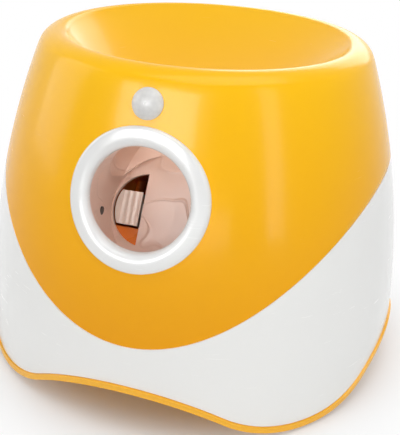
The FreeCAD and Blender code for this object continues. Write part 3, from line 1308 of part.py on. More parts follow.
cells_list = []
contacts = []
row_pitch = 2 * cell + size("cell_gap")
for row in (-1, 0, 1):
    y = bay_y + row * row_pitch
    for sx in (-1, 1):
        can = Part.makeCylinder(cell, size("cell_length") - 2, Vector(0, y, cell_axis), Vector(sx, 0, 0))
        way = 1 if row else -1
        if sx * way > 0:
            nub = Part.makeCylinder(4.5, 2.1, Vector(sx * (size("cell_length") - 2.1), y, cell_axis),
                                    Vector(sx, 0, 0))
            can = can.fuse(nub)
        else:
            can = can.fuse(Part.makeCylinder(cell - 1, 2.1, Vector(sx * (size("cell_length") - 2.1),
                                                                   y, cell_axis), Vector(sx, 0, 0)))
        cells_list.append(can)
        plate_x = size("bay_half_wide") - 0.5
        plate_form = Part.makeBox(0.5, 16, 16, Vector(plate_x if sx > 0 else -plate_x - 0.5, y - 8,
                                                      cell_axis - 8))
        finger = Part.makeCylinder(4, plate_x - size("cell_length") + 0.1,
                                   Vector(sx * size("cell_length"), y, cell_axis), Vector(sx, 0, 0))
        contacts.append(plate_form.fuse(finger))
keep("battery_cells", solid("battery_cells_form", Part.makeCompound(cells_list)))
keep("battery_contacts", solid("battery_contacts_form", Part.makeCompound(contacts)))

# Battery door: hinged along its front edge
hinge_y = bay_y - size("bay_half_deep") + size("door_thick")
hinge_z = size("door_top") - size("door_thick") / 2
door_half = size("bay_half_wide") - size("door_gap")
door_back = bay_y + size("bay_half_deep") - size("door_gap")
door = Part.makeBox(2 * door_half, door_back - hinge_y, size("door_thick"),
                    Vector(-door_half, hinge_y, size("door_top") - size("door_thick")))
door = door.fuse(Part.makeCylinder(size("door_thick") / 2, 2 * door_half,
                                   Vector(-door_half, hinge_y, hinge_z), Vector(1, 0, 0)))
pins = Part.makeCylinder(size("door_pin"), 2 * (size("bay_half_wide") + size("bay_wall") - 0.5),
                         Vector(-size("bay_half_wide") - size("bay_wall") + 0.5, hinge_y, hinge_z),
                         Vector(1, 0, 0))
door = door.fuse(pins)
pull = Part.makeBox(24, 7, 1.3, Vector(-12, door_back - 12, size("door_top") - size("door_thick") - 0.1))
door = door.cut(pull)
keep("battery_door", solid("battery_door_form", door))

# Screws from below: through the lower bosses, and through the pan
shell_screws = []
seat = size("screw_seat")
for sx, sy in corner_signs:
    x, y = sx * size("shell_boss"), sy * size("shell_boss")
    screw = drum(size("screw_radius"), seat - 0.1, boss_z + 14, x, y)
    shell_screws.append(screw.fuse(drum(size("screw_head"), seat - size("head_high"), seat, x, y)))
keep("shell_screws", solid("shell_screws_form", Part.makeCompound(shell_screws)))
pan_screws = []
head_top = crown_z + size("head_sink")
for x, y in ((0, -1), (1, 0), (0, 1), (-1, 0)):
    x, y = x * size("pan_boss"), y * size("pan_boss")
    screw = drum(size("screw_radius"), head_top - 0.1, crown_z + 10, x, y)
    pan_screws.append(screw.fuse(drum(size("screw_head"), head_top - size("head_high"), head_top, x, y)))
for x, y in stand_bosses:
    under = max(arch_height(x), arch_height(y))
    slope = min(arch_height(x + dx) if arch_height(x) > arch_height(y) else arch_height(y + dx)
                for dx in (-size("screw_head"), size("screw_head")))
    top = min(under, slope)
    screw = drum(size("screw_radius"), top - 0.1, size("stand_boss_high") - 6, x, y)
    pan_screws.append(screw.fuse(drum(size("screw_head"), top - size("head_high"), top, x, y)))
keep("pan_screws", solid("pan_screws_form", Part.makeCompound(pan_screws)))

# Check every object, then write one file for each sub-part
doc.recompute()
for thing in doc.Objects:
    if "Invalid" in thing.State or "Error" in thing.State:
        raise RuntimeError("not recomputed: " + thing.Name)
for name, thing in nodes:
    shape = thing.Shape
    if shape.isNull() or not shape.isValid() or not shape.Solids:
        raise RuntimeError("no valid solid: " + name)
    shape.exportStep("parts/%s.step" % name)
    print(name, len(shape.Solids), round(shape.Volume))
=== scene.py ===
import bmesh
import bpy
import math
from mathutils import Matrix, Vector


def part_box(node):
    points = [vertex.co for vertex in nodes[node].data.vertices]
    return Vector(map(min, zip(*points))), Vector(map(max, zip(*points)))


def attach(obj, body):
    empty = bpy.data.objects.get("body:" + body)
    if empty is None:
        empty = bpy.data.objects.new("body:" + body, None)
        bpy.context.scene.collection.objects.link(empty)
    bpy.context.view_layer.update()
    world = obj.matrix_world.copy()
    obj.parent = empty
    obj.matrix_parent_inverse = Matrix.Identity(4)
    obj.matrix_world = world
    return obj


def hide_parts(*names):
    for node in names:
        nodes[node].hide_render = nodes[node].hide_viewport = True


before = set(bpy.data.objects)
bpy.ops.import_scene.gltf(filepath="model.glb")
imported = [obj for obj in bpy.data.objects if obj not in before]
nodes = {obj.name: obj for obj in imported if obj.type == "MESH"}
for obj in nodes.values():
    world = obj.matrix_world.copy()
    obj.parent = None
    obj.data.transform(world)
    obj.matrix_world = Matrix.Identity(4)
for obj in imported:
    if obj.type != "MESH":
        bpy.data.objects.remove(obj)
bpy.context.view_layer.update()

# Upper shell: one injection-moulded ABS cover with the outer wall, the wide rolled rim and the
# bowl that hands the balls down to the throat. The mould is polished, so it is glossy, and the
# shell sits on the lower one along a curved parting line, held by four screws from below.
wall_arc = 0.520
wall_axis = -0.380
wall_widest = 0.01475
wall_thick = 0.0026
rim_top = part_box("upper_shell")[1].z
rim_roll = 0.012
lip_roll = 0.0065
rim_dip = 0.003
rim_dip_from = 0.196
dip_reach = 0.2
rim_start = rim_top - rim_roll
for step in range(20):
    rim_start = rim_top - rim_roll * (1 - (rim_start - wall_widest) / wall_arc)
seam_bevel = 0.00045
bowl_wall = 0.002
bowl_middle = (0.060, 0.026, 0.184)
throat = (0.029, 0.066, 0.168)
bowl_drop = 0.0024
throat_end = throat[2] - bowl_drop
bowl_bend_share = 0.45
parting_low = 0.0586
parting_climb = 0.0819
parting_radius = 0.1244
lip_turn = 116
lip_turn_front = 56
shell_columns = 224
wall_rows = 22
roll_rows = 12
lip_rows = 10
bowl_rows = 26
inner_bowl_rows = 12
inner_wall_rows = 10


def barrel(z, inward=0.0):
    """Radius of the barrel-shaped wall at a height."""
    return wall_axis + math.sqrt((wall_arc - inward) ** 2 - (z - wall_widest) ** 2)


def parting_height(angle, inward=0.0):
    """Where the curved parting line crosses the wall; angle 0 is the front."""
    z = 0.10
    for step in range(30):
        across = barrel(z, inward) * math.sin(angle)
        z = parting_low + parting_climb * (across / parting_radius) ** 2
    return z


def on_wall(angle, z, inward=0.0):
    """A point of the wall, or of its inner side, at an angle from the front."""
    radius = barrel(z, inward)
    return Vector((radius * math.sin(angle), -radius * math.cos(angle), z))


def round_ring(radius, shift, z):
    """A level ring of the bowl, moved forward by shift."""
    def spot(angle):
        return Vector((radius * math.sin(angle), -radius * math.cos(angle) - shift, z))
    return spot


def wall_ring(share, inward, lift=0.0):
    """A ring up the wall: share 0 is the parting line, 1 the start of the rim."""
    def spot(angle):
        low = parting_height(angle, inward) + lift
        return on_wall(angle, low + share * (rim_start - low), inward)
    return spot


def skin(name, rings, columns):
    """A closed shell through rings of points, grown from one circle ring by ring."""
    bm = bmesh.new()
    around = bm.verts.layers.float.new("around")
    verts = bmesh.ops.create_circle(bm, segments=columns, radius=1.0)["verts"]
    for v in verts:
        v[around] = math.atan2(v.co.x, -v.co.y)
    edges = list(bm.edges)
    first = edges
    for count, ring in enumerate(rings):
        if count:
            grown = bmesh.ops.extrude_edge_only(bm, edges=edges)["geom"]
            verts = [g for g in grown if isinstance(g, bmesh.types.BMVert)]
            fresh = set(verts)
            edges = [g for g in grown if isinstance(g, bmesh.types.BMEdge)
                     and g.verts[0] in fresh and g.verts[1] in fresh]
        for v in verts:
            v.co = ring(v[around])
    bmesh.ops.bridge_loops(bm, edges=first + edges)
    bmesh.ops.recalc_face_normals(bm, faces=bm.faces)
    return finished(name, bm)


def finished(name, bm, sharp=35.0):
    """Write a mesh out as an object with smooth faces and sharp edges."""
    mesh = bpy.data.meshes.new(name)
    bm.to_mesh(mesh)
    bm.free()
    mesh.shade_smooth()
    mesh.set_sharp_from_angle(angle=math.radians(sharp))
    piece = bpy.data.objects.new(name, mesh)
    bpy.context.scene.collection.objects.link(piece)
    return piece


def pierced(piece, cutters, sharp=35.0):
    """Cut openings into a piece, then drop the cutting forms."""
    for number, cutter in enumerate(cutters):
        cut = piece.modifiers.new("opening_%d" % number, "BOOLEAN")
        cut.operation = "DIFFERENCE"
        cut.solver = "EXACT"
        cut.object = cutter
    bpy.context.view_layer.update()
    shaped = piece.evaluated_get(bpy.context.evaluated_depsgraph_get())
    ready = bpy.data.meshes.new_from_object(shaped)
    piece.modifiers.clear()
    piece.data = ready
    ready.shade_smooth()
    ready.set_sharp_from_angle(angle=math.radians(sharp))
    for cutter in cutters:
        bpy.data.objects.remove(cutter)
    return piece


def lip_end(angle):
    """How far the inner rounding of the rim turns before the bowl takes over."""
    slope = 0.5 + 0.5 * math.cos(angle)
    return math.radians(lip_turn + lip_turn_front * slope)


roll_lean = math.asin((rim_start - wall_widest) / wall_arc)
crest_radius = barrel(rim_start) - rim_roll * math.cos(roll_lean)


def roll_ring(share):
    """A ring over the outer rounding of the rim."""
    turn = roll_lean + share * (math.pi / 2 - roll_lean)
    return round_ring(crest_radius + rim_roll * math.cos(turn), 0.0,
                      rim_top - rim_roll + rim_roll * math.sin(turn))


def lip_ring(share, inward=0.0):
    """A ring over the inner rounding of the rim."""
    def spot(angle):
        turn = math.pi / 2 + share * (lip_end(angle) - math.pi / 2)
        reach = lip_roll - inward
        radius = crest_radius + reach * math.cos(turn)
        return Vector((radius * math.sin(angle), -radius * math.cos(angle),
                       rim_top - lip_roll + reach * math.sin(turn)))
    return spot


def bowl_ring(share, outward=0.0, down=0.0):
    """A ring of the curve that runs through the rim, the bowl's middle and the throat."""
    def spot(angle):
        start = lip_ring(1.0, outward)(angle)
        middle = round_ring(bowl_middle[0] + outward, bowl_middle[1], bowl_middle[2] - down)(angle)
        end = round_ring(throat[0] + outward, throat[1], throat[2] - down)(angle)
        t, m = share, bowl_bend_share
        return (start * ((t - m) * (t - 1) / m) + middle * (t * (t - 1) / (m * (m - 1)))
                + end * (t * (t - m) / (1 - m)))
    return spot


def dipped(ring):
    """The rim sits a little lower over the port than at the back."""
    def spot(angle):
        place = ring(angle)
        front = min(1.0, max(0.0, 0.5 - place.y / dip_reach))
        up = min(1.0, max(0.0, (place.z - rim_dip_from) / (rim_top - rim_dip_from)))
        place.z -= rim_dip * front * front * (3 - 2 * front) * up * up * (3 - 2 * up)
        return place
    return spot


upper_rings = [wall_ring(0.0, seam_bevel), wall_ring(0.0, 0.0, seam_bevel)]
upper_rings += [wall_ring(row / wall_rows, 0.0, seam_bevel) for row in range(1, wall_rows + 1)]
upper_rings += [roll_ring(row / roll_rows) for row in range(1, roll_rows + 1)]
upper_rings += [lip_ring(row / lip_rows) for row in range(1, lip_rows + 1)]
upper_rings += [bowl_ring(row / bowl_rows) for row in range(1, bowl_rows + 1)]
upper_rings += [round_ring(throat[0], throat[1], throat_end + seam_bevel),
                round_ring(throat[0] + seam_bevel, throat[1], throat_end)]
upper_rings += [bowl_ring(1 - row / inner_bowl_rows, bowl_wall, bowl_drop)
                for row in range(inner_bowl_rows)]
upper_rings += [round_ring(crest_radius, 0.0, rim_top - wall_thick),
                round_ring(crest_radius + rim_roll / 2, 0.0, rim_top - wall_thick - bowl_wall)]
upper_rings += [wall_ring(1 - row / inner_wall_rows, wall_thick)
                for row in range(inner_wall_rows + 1)]
upper_shell = skin("moulded_upper_shell", [dipped(ring) for ring in upper_rings], shell_columns)

port_height = 0.141
port_wall = barrel(port_height)
port_lean = math.asin((port_height - wall_widest) / wall_arc)
ring_place = (Matrix.Translation((0, -port_wall, port_height))
              @ Matrix.Rotation(math.pi / 2 - port_lean, 4, "X"))
lens_height = 0.190
lens_lean = math.asin((lens_height - wall_widest) / wall_arc)
lens_place = (Matrix.Translation((0, -barrel(lens_height), lens_height))
              @ Matrix.Rotation(math.pi / 2 - lens_lean, 4, "X"))
panel_height = 0.092
panel_opening = (0.0684, 0.04, 0.0324)
panel_back = 0.130
port_opening = 0.0302
lens_opening = 0.0075
cut_depth = 0.03


def round_cutter(radius, place):
    """A plug that cuts a round opening square to the wall."""
    bm = bmesh.new()
    bmesh.ops.create_cone(bm, cap_ends=True, segments=96, radius1=radius, radius2=radius,
                          depth=cut_depth)
    bmesh.ops.transform(bm, matrix=place, verts=bm.verts)
    return finished("cutter", bm)


def panel_cutter():
    """A block that cuts the opening of the rear panel."""
    bm = bmesh.new()
    bmesh.ops.create_cube(bm, size=1.0)
    bmesh.ops.scale(bm, vec=panel_opening, verts=bm.verts)
    bmesh.ops.translate(bm, vec=(0, panel_back, panel_height), verts=bm.verts)
    return finished("cutter", bm)


pierced(upper_shell, [round_cutter(port_opening, ring_place),
                      round_cutter(lens_opening, lens_place), panel_cutter()])


def moulding_finish():
    """Shader group for moulded plastic: faint clouding, fine grain, rub marks and gloss changes."""
    group = bpy.data.node_groups.new("moulding_finish", "ShaderNodeTree")
    for label, kind, value in (("Colour", "NodeSocketColor", (0.8, 0.8, 0.8, 1)),
                               ("Shade", "NodeSocketColor", (0.6, 0.6, 0.6, 1)),
                               ("Clouding", "NodeSocketFloat", 0.3),
                               ("Grain Scale", "NodeSocketFloat", 900.0),
                               ("Grain Height", "NodeSocketFloat", 0.02),
                               ("Gloss Low", "NodeSocketFloat", 0.12),
                               ("Gloss High", "NodeSocketFloat", 0.3),
                               ("Rub Marks", "NodeSocketFloat", 0.3)):
        socket = group.interface.new_socket(name=label, in_out="INPUT", socket_type=kind)
        socket.default_value = value
    group.interface.new_socket(name="Color", in_out="OUTPUT", socket_type="NodeSocketColor")
    group.interface.new_socket(name="Roughness", in_out="OUTPUT", socket_type="NodeSocketFloat")
    group.interface.new_socket(name="Normal", in_out="OUTPUT", socket_type="NodeSocketVector")
    node, link = group.nodes.new, group.links.new
    entry, leave = node("NodeGroupInput"), node("NodeGroupOutput")
    place = node("ShaderNodeTexCoord")

    cloud = node("ShaderNodeTexNoise")
    cloud.inputs["Scale"].default_value = 14.0
    cloud.inputs["Detail"].default_value = 3.0
    link(place.outputs["Object"], cloud.inputs["Vector"])
    amount = node("ShaderNodeMath")
    amount.operation = "MULTIPLY"
    link(cloud.outputs["Fac"], amount.inputs[0])
    link(entry.outputs["Clouding"], amount.inputs[1])
    tint = node("ShaderNodeMix")
    tint.data_type = "RGBA"
    link(amount.outputs[0], tint.inputs["Factor"])
    link(entry.outputs["Colour"], tint.inputs["A"])
    link(entry.outputs["Shade"], tint.inputs["B"])
    link(tint.outputs["Result"], leave.inputs["Color"])

    stretch = node("ShaderNodeMapping")
    stretch.inputs["Scale"].default_value = (60.0, 60.0, 900.0)
    stretch.inputs["Rotation"].default_value = (0.5, 0.25, 0.0)
    link(place.outputs["Object"], stretch.inputs["Vector"])
    rubs = node("ShaderNodeTexNoise")
    rubs.inputs["Scale"].default_value = 1.0
    rubs.inputs["Detail"].default_value = 5.0
    link(stretch.outputs["Vector"], rubs.inputs["Vector"])
    lines = node("ShaderNodeMapRange")
    lines.inputs["From Min"].default_value = 0.60
    lines.inputs["From Max"].default_value = 0.74
    link(rubs.outputs["Fac"], lines.inputs["Value"])
    rubbed = node("ShaderNodeMath")
    rubbed.operation = "MULTIPLY"
    link(lines.outputs["Result"], rubbed.inputs[0])
    link(entry.outputs["Rub Marks"], rubbed.inputs[1])

    smear = node("ShaderNodeTexNoise")
    smear.inputs["Scale"].default_value = 34.0
    smear.inputs["Detail"].default_value = 4.0
    link(place.outputs["Object"], smear.inputs["Vector"])
    gloss = node("ShaderNodeMapRange")
    gloss.inputs["From Min"].default_value = 0.3
    gloss.inputs["From Max"].default_value = 0.75
    link(smear.outputs["Fac"], gloss.inputs["Value"])
    link(entry.outputs["Gloss Low"], gloss.inputs["To Min"])
    link(entry.outputs["Gloss High"], gloss.inputs["To Max"])
    worn = node("ShaderNodeMath")
    worn.operation = "MULTIPLY_ADD"
    worn.inputs[1].default_value = 0.25
    link(rubbed.outputs[0], worn.inputs[0])
    link(gloss.outputs["Result"], worn.inputs[2])
    link(worn.outputs[0], leave.inputs["Roughness"])

    grain = node("ShaderNodeTexNoise")
    grain.inputs["Detail"].default_value = 2.0
    link(place.outputs["Object"], grain.inputs["Vector"])
    link(entry.outputs["Grain Scale"], grain.inputs["Scale"])
    relief = node("ShaderNodeBump")
    relief.inputs["Distance"].default_value = 0.0004
    link(entry.outputs["Grain Height"], relief.inputs["Strength"])
    link(grain.outputs["Fac"], relief.inputs["Height"])
    link(relief.outputs["Normal"], leave.inputs["Normal"])
    return group


moulding = moulding_finish()


def plastic(name, colour, shade, clouding=0.3, grain=900.0, height=0.02, gloss=(0.12, 0.3),
            rubs=0.3, coat=0.0):
    """A plastic that takes its detail from the moulding group."""
    material = bpy.data.materials.new(name)
    material.use_nodes = True
    tree = material.node_tree
    shader = tree.nodes["Principled BSDF"]
    finish = tree.nodes.new("ShaderNodeGroup")
    finish.node_tree = moulding
    finish.inputs["Colour"].default_value = (*colour, 1)
    finish.inputs["Shade"].default_value = (*shade, 1)
    finish.inputs["Clouding"].default_value = clouding
    finish.inputs["Grain Scale"].default_value = grain
    finish.inputs["Grain Height"].default_value = height
    finish.inputs["Gloss Low"].default_value = gloss[0]
    finish.inputs["Gloss High"].default_value = gloss[1]
    finish.inputs["Rub Marks"].default_value = rubs
    tree.links.new(finish.outputs["Color"], shader.inputs["Base Color"])
    tree.links.new(finish.outputs["Roughness"], shader.inputs["Roughness"])
    tree.links.new(finish.outputs["Normal"], shader.inputs["Normal"])
    shader.inputs["Coat Weight"].default_value = coat
    shader.inputs["Coat Roughness"].default_value = 0.06
    return material


def paint(piece, material):
    """Give a piece one material all over."""
    piece.data.materials.clear()
    piece.data.materials.append(material)
    return piece


def shell_yellow_material():
    """Warm yellow ABS, with painted shade that deepens its tone towards the lower edge."""
    material = plastic("shell_yellow", (1.0, 0.55, 0.004), (0.96, 0.47, 0.003), clouding=0.35,
                       grain=700, height=0.012, gloss=(0.16, 0.26), rubs=0.25, coat=0.06)
    tree = material.node_tree
    shader = tree.nodes["Principled BSDF"]
    finish = [n for n in tree.nodes if n.type == "GROUP"][0]
    place = tree.nodes.new("ShaderNodeTexCoord")
    split = tree.nodes.new("ShaderNodeSeparateXYZ")
    tree.links.new(place.outputs["Object"], split.inputs["Vector"])
    # Painted shade: lower on the shell the yellow is mixed towards a deeper orange, standing in for
    # the lower wall getting less light.
    shade_lift_by_height = tree.nodes.new("ShaderNodeMapRange")
    shade_lift_by_height.inputs["From Min"].default_value = 0.06
    shade_lift_by_height.inputs["From Max"].default_value = 0.205
    tree.links.new(split.outputs["Z"], shade_lift_by_height.inputs["Value"])
    painted_lower_shade = tree.nodes.new("ShaderNodeMix")
    painted_lower_shade.data_type = "RGBA"
    painted_lower_shade.inputs["A"].default_value = (0.84, 0.35, 0.002, 1)
    tree.links.new(shade_lift_by_height.outputs["Result"], painted_lower_shade.inputs["Factor"])
    tree.links.new(finish.outputs["Color"], painted_lower_shade.inputs["B"])
    tree.links.new(painted_lower_shade.outputs["Result"], shader.inputs["Base Color"])
    shader.inputs["Specular IOR Level"].default_value = 0.15
    return material


shell_yellow = shell_yellow_material()
paint(upper_shell, shell_yellow)
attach(upper_shell, "housing")
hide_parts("upper_shell")

# Lower shell: glossy white ABS wall from the pan up to the parting line, wrapped round the feet.
# Its top edge follows the same curve as the upper shell's bib, with a fine bevelled seam between.
foot_gap = 0.002
arch_rise = 0.028
arch_crown = 0.110
arch_half = 0.099
foot_arc = (arch_half ** 2 + arch_rise ** 2) / (2 * arch_rise) - arch_crown
pan_thick = 0.0035
white_rows = 18
inner_white_rows = 8


def arch_height(across):
    """Height of one of the two crossing arches under the pan."""
    meet = arch_half * arch_crown / (arch_crown + foot_arc)
    crown = foot_gap + arch_rise
    if abs(across) <= meet:
        return crown - arch_crown + math.sqrt(arch_crown ** 2 - across ** 2)
    off = min(abs(across), arch_half) - arch_half
    return foot_gap + foot_arc - math.sqrt(foot_arc ** 2 - off ** 2)


def pan_height(x, y):
    """Underside of the pan: the higher of the two arches."""
    return max(arch_height(x), arch_height(y))


def wall_foot(angle, inward=0.0):
    """Where the wall stands on the pan."""
    z = 0.02
    for step in range(8):
        edge = on_wall(angle, z, inward)
        z = pan_height(edge.x, edge.y) + pan_thick
    return z


def white_ring(share, inward, low=0.0, high=0.0):
    """A ring up the white wall: share 0 on the pan, 1 at the parting line."""
    def spot(angle):
        bottom = wall_foot(angle, inward) + low
        top = parting_height(angle, inward) - high
        return on_wall(angle, bottom + share * (top - bottom), inward)
    return spot


white_rings = [white_ring(0, seam_bevel), white_ring(0, 0, seam_bevel)]
white_rings += [white_ring(row / white_rows, 0, seam_bevel, seam_bevel)
                for row in range(1, white_rows + 1)]
white_rings += [white_ring(1, seam_bevel)]
white_rings += [white_ring(1 - row / inner_white_rows, wall_thick)
                for row in range(inner_white_rows + 1)]
lower_shell = skin("moulded_lower_shell", white_rings, shell_columns)
shell_white = plastic("shell_white", (0.84, 0.84, 0.82), (0.76, 0.76, 0.745), clouding=0.25,
                      grain=700, height=0.010, gloss=(0.12, 0.24), rubs=0.5, coat=0.4)
paint(lower_shell, shell_white)
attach(lower_shell, "housing")
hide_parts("lower_shell")

# Port ring: white ABS bezel, rounded on the outside and rolled down into its bore, pressed into the
# front of the upper shell. It follows the barrel, so it meets the wall all round without a gap.
ring_radius = 0.0395
ring_bore = 0.0286
ring_proud = 0.0026
ring_edge = 0.0022
ring_roll = 0.0052
ring_sunk = 0.0006
bore_end = -0.007
bore_chamfer = 0.0004
bore_wall = 0.0014
crest_rows = 24
ring_columns = 144


def under_skirt(x, y):
    """Depth of the wall below the ring's own plane, in the ring's frame."""
    depth = 0.0
    for step in range(12):
        spot = ring_place @ Vector((x, y, depth))
        depth += barrel(spot.z) - math.hypot(spot.x, spot.y)
    return depth


def bezel_ring(radius, level):
    """A flat ring in the port's own plane."""
    def spot(angle):
        return ring_place @ Vector((radius * math.cos(angle), radius * math.sin(angle), level))
    return spot


def skirt_ring(radius, lift):
    """A ring that follows the barrel, lifted off its wall."""
    def spot(angle):
        x, y = radius * math.cos(angle), radius * math.sin(angle)
        return ring_place @ Vector((x, y, under_skirt(x, y) + lift))
    return spot


def crest_ring(share):
    """Outer rounding, then a wider roll down into the bore."""
    turn = share * math.pi
    if share < 0.5:
        return skirt_ring(ring_radius - ring_edge + ring_edge * math.cos(turn),
                          ring_proud - ring_edge + ring_edge * math.sin(turn))
    return skirt_ring(ring_bore + ring_roll + ring_roll * math.cos(turn),
                      ring_proud - ring_roll + ring_roll * math.sin(turn))


bezel_rings = [skirt_ring(ring_radius, -ring_sunk), skirt_ring(ring_radius, 0.0)]
bezel_rings += [crest_ring(step / crest_rows) for step in range(crest_rows + 1)]
bezel_rings += [bezel_ring(ring_bore, bore_end + bore_chamfer),
                bezel_ring(ring_bore + bore_chamfer, bore_end),
                bezel_ring(ring_bore + bore_wall, bore_end),
                skirt_ring(ring_bore + bore_wall, -ring_sunk)]
port_ring = skin("rounded_port_ring", bezel_rings, ring_columns)
# The ring is the same white plastic as the lower shell; its colour is painted a shade darker to
# hold back the extra light on its upturned face.
ring_white_painted_shade = plastic("ring_white_painted_shade", (0.76, 0.76, 0.75), (0.70, 0.70, 0.69), clouding=0.25,
                     grain=700, height=0.010, gloss=(0.16, 0.28), rubs=0.4, coat=0.05)
paint(port_ring, ring_white_painted_shade)
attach(port_ring, "housing")
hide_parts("port_ring")

# Sensor lens: milky polyethylene dome over the motion sensor, moulded with small lens facets on
# its inside that show through as a faint honeycomb. It clips into a hole above the port.
lens_radius = 0.0085
lens_dome = 0.0042
lens_arc = (lens_radius ** 2 + lens_dome ** 2) / (2 * lens_dome)
lens_edge = 0.001
lens_neck = 0.0073
lens_back = -0.0038
lens_pole = 0.0003
lens_rows = 16
lens_columns = 72


def dome_ring(radius):
    """A ring on the dome, with its height from the dome's arc."""
    level = lens_edge + math.sqrt(lens_arc ** 2 - radius ** 2) - (lens_arc - lens_dome)

    def spot(angle):
        return lens_place @ Vector((radius * math.cos(angle), radius * math.sin(angle), level))
    return spot


def lens_ring(radius, level):
    """A ring of the lens's neck or flange, in the lens's own plane."""
    def spot(angle):
        return lens_place @ Vector((radius * math.cos(angle), radius * math.sin(angle), level))
    return spot


lens_rings = [lens_ring(lens_pole, lens_back), lens_ring(lens_neck - 0.0001, lens_back),
              lens_ring(lens_neck, lens_back + 0.0002), lens_ring(lens_neck, 0.0),
              lens_ring(lens_radius - 0.0002, -0.0004), lens_ring(lens_radius, -0.0002),
              lens_ring(lens_radius, 0.0006)]
lens_rings += [dome_ring(lens_radius * math.cos(step * math.pi / 2 / lens_rows))
               for step in range(lens_rows)]
lens_rings += [dome_ring(lens_pole)]
sensor_lens = skin("faceted_sensor_lens", lens_rings, lens_columns)


def lens_material():
    """Milky plastic that lets a little light in, with faint round facets behind the surface."""
    material = bpy.data.materials.new("lens_milky")
    material.use_nodes = True
    tree = material.node_tree
    shader = tree.nodes["Principled BSDF"]
    place = tree.nodes.new("ShaderNodeTexCoord")
    cells = tree.nodes.new("ShaderNodeTexVoronoi")
    cells.inputs["Scale"].default_value = 420.0
    cells.inputs["Randomness"].default_value = 0.55
    tree.links.new(place.outputs["Object"], cells.inputs["Vector"])
    edge = tree.nodes.new("ShaderNodeMapRange")
    edge.inputs["From Min"].default_value = 0.15
    edge.inputs["From Max"].default_value = 0.75
    tree.links.new(cells.outputs["Distance"], edge.inputs["Value"])
    tone = tree.nodes.new("ShaderNodeMix")
    tone.data_type = "RGBA"
    tone.inputs["A"].default_value = (0.70, 0.69, 0.67, 1)
    tone.inputs["B"].default_value = (0.64, 0.63, 0.615, 1)
    tree.links.new(edge.outputs["Result"], tone.inputs["Factor"])
    tree.links.new(tone.outputs["Result"], shader.inputs["Base Color"])
    relief = tree.nodes.new("ShaderNodeBump")
    relief.inputs["Strength"].default_value = 0.06
    relief.inputs["Distance"].default_value = 0.0004
    relief.invert = True
    tree.links.new(cells.outputs["Distance"], relief.inputs["Height"])
    tree.links.new(relief.outputs["Normal"], shader.inputs["Normal"])
    shader.inputs["Roughness"].default_value = 0.34
    shader.inputs["Subsurface Weight"].default_value = 0.35
    shader.inputs["Subsurface Radius"].default_value = (0.004, 0.004, 0.004)
    shader.inputs["Coat Weight"].default_value = 0.1
    return material


paint(sensor_lens, lens_material())
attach(sensor_lens, "housing")
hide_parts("sensor_lens")

# Base pan, door and feet: the pan is satin yellow ABS that shows as a thin edge under the white
# wall and forms the four feet. The door is the same plastic, and rubber pads are pressed in.
base_yellow = plastic("base_yellow", (0.94, 0.47, 0.016), (0.88, 0.40, 0.012), clouding=0.4,
                      grain=1100, height=0.05, gloss=(0.28, 0.42), rubs=0.5)
rubber_black = plastic("rubber_black", (0.02, 0.02, 0.02), (0.045, 0.045, 0.045), clouding=0.6,
                       grain=2200, height=0.2, gloss=(0.6, 0.8), rubs=0.1)
paint(nodes["base_pan"], base_yellow)
paint(nodes["battery_door"], base_yellow)
paint(nodes["rubber_feet"], rubber_black)
paint(nodes["kicker_bumper"], rubber_black)

# Launch tube: matt pink-beige polypropylene moulding with the duct and the end wall in one, held
# to the gearbox by two screws. It is thin, so flow lines and small dents show in the low light.


def flow_marks(material):
    """Long faint flow marks and dents pressed into a thin moulding."""
    tree = material.node_tree
    shader = tree.nodes["Principled BSDF"]
    finish = [n for n in tree.nodes if n.type == "GROUP"][0]
    place = tree.nodes.new("ShaderNodeTexCoord")
    dents = tree.nodes.new("ShaderNodeTexVoronoi")
    dents.feature = "SMOOTH_F1"
    dents.inputs["Scale"].default_value = 55.0
    tree.links.new(place.outputs["Object"], dents.inputs["Vector"])
    relief = tree.nodes.new("ShaderNodeBump")
    relief.inputs["Strength"].default_value = 0.35
    relief.inputs["Distance"].default_value = 0.002
    tree.links.new(dents.outputs["Distance"], relief.inputs["Height"])
    tree.links.new(finish.outputs["Normal"], relief.inputs["Normal"])
    folds = tree.nodes.new("ShaderNodeTexNoise")
    folds.inputs["Scale"].default_value = 30.0
    folds.inputs["Detail"].default_value = 1.0
    tree.links.new(place.outputs["Object"], folds.inputs["Vector"])
    apart = tree.nodes.new("ShaderNodeMath")
    apart.operation = "SUBTRACT"
    apart.inputs[1].default_value = 0.5
    tree.links.new(folds.outputs["Fac"], apart.inputs[0])
    near = tree.nodes.new("ShaderNodeMath")
    near.operation = "ABSOLUTE"
    tree.links.new(apart.outputs[0], near.inputs[0])
    ridge = tree.nodes.new("ShaderNodeMapRange")
    ridge.interpolation_type = "SMOOTHSTEP"
    ridge.inputs["From Max"].default_value = 0.02
    ridge.inputs["To Min"].default_value = 1.0
    ridge.inputs["To Max"].default_value = 0.0
    tree.links.new(near.outputs[0], ridge.inputs["Value"])
    creases = tree.nodes.new("ShaderNodeBump")
    creases.inputs["Strength"].default_value = 0.32
    creases.inputs["Distance"].default_value = 0.0012
    tree.links.new(ridge.outputs["Result"], creases.inputs["Height"])
    tree.links.new(relief.outputs["Normal"], creases.inputs["Normal"])
    tree.links.new(creases.outputs["Normal"], shader.inputs["Normal"])


tube_pink = plastic("tube_pink", (0.88, 0.68, 0.58), (0.76, 0.53, 0.43), clouding=0.9,
                    grain=500, height=0.10, gloss=(0.30, 0.46), rubs=0.4)
flow_marks(tube_pink)
paint(nodes["launch_tube"], tube_pink)

# Kicker: ivory acetal head with three moulded flutes on its face. It swings on a steel pin, and
# the gears are the same smooth acetal in white.
kicker_ivory = plastic("kicker_ivory", (0.90, 0.80, 0.72), (0.82, 0.70, 0.62), clouding=0.4,
                       grain=900, height=0.04, gloss=(0.28, 0.4), rubs=0.6)
gear_white = plastic("gear_white", (0.76, 0.75, 0.70), (0.68, 0.66, 0.60), clouding=0.3,
                     grain=1200, height=0.04, gloss=(0.26, 0.4), rubs=0.3)
paint(nodes["kicker"], kicker_ivory)
for name in ("sector_gear", "compound_gear_slow", "compound_gear_fast"):
    paint(nodes[name], gear_white)

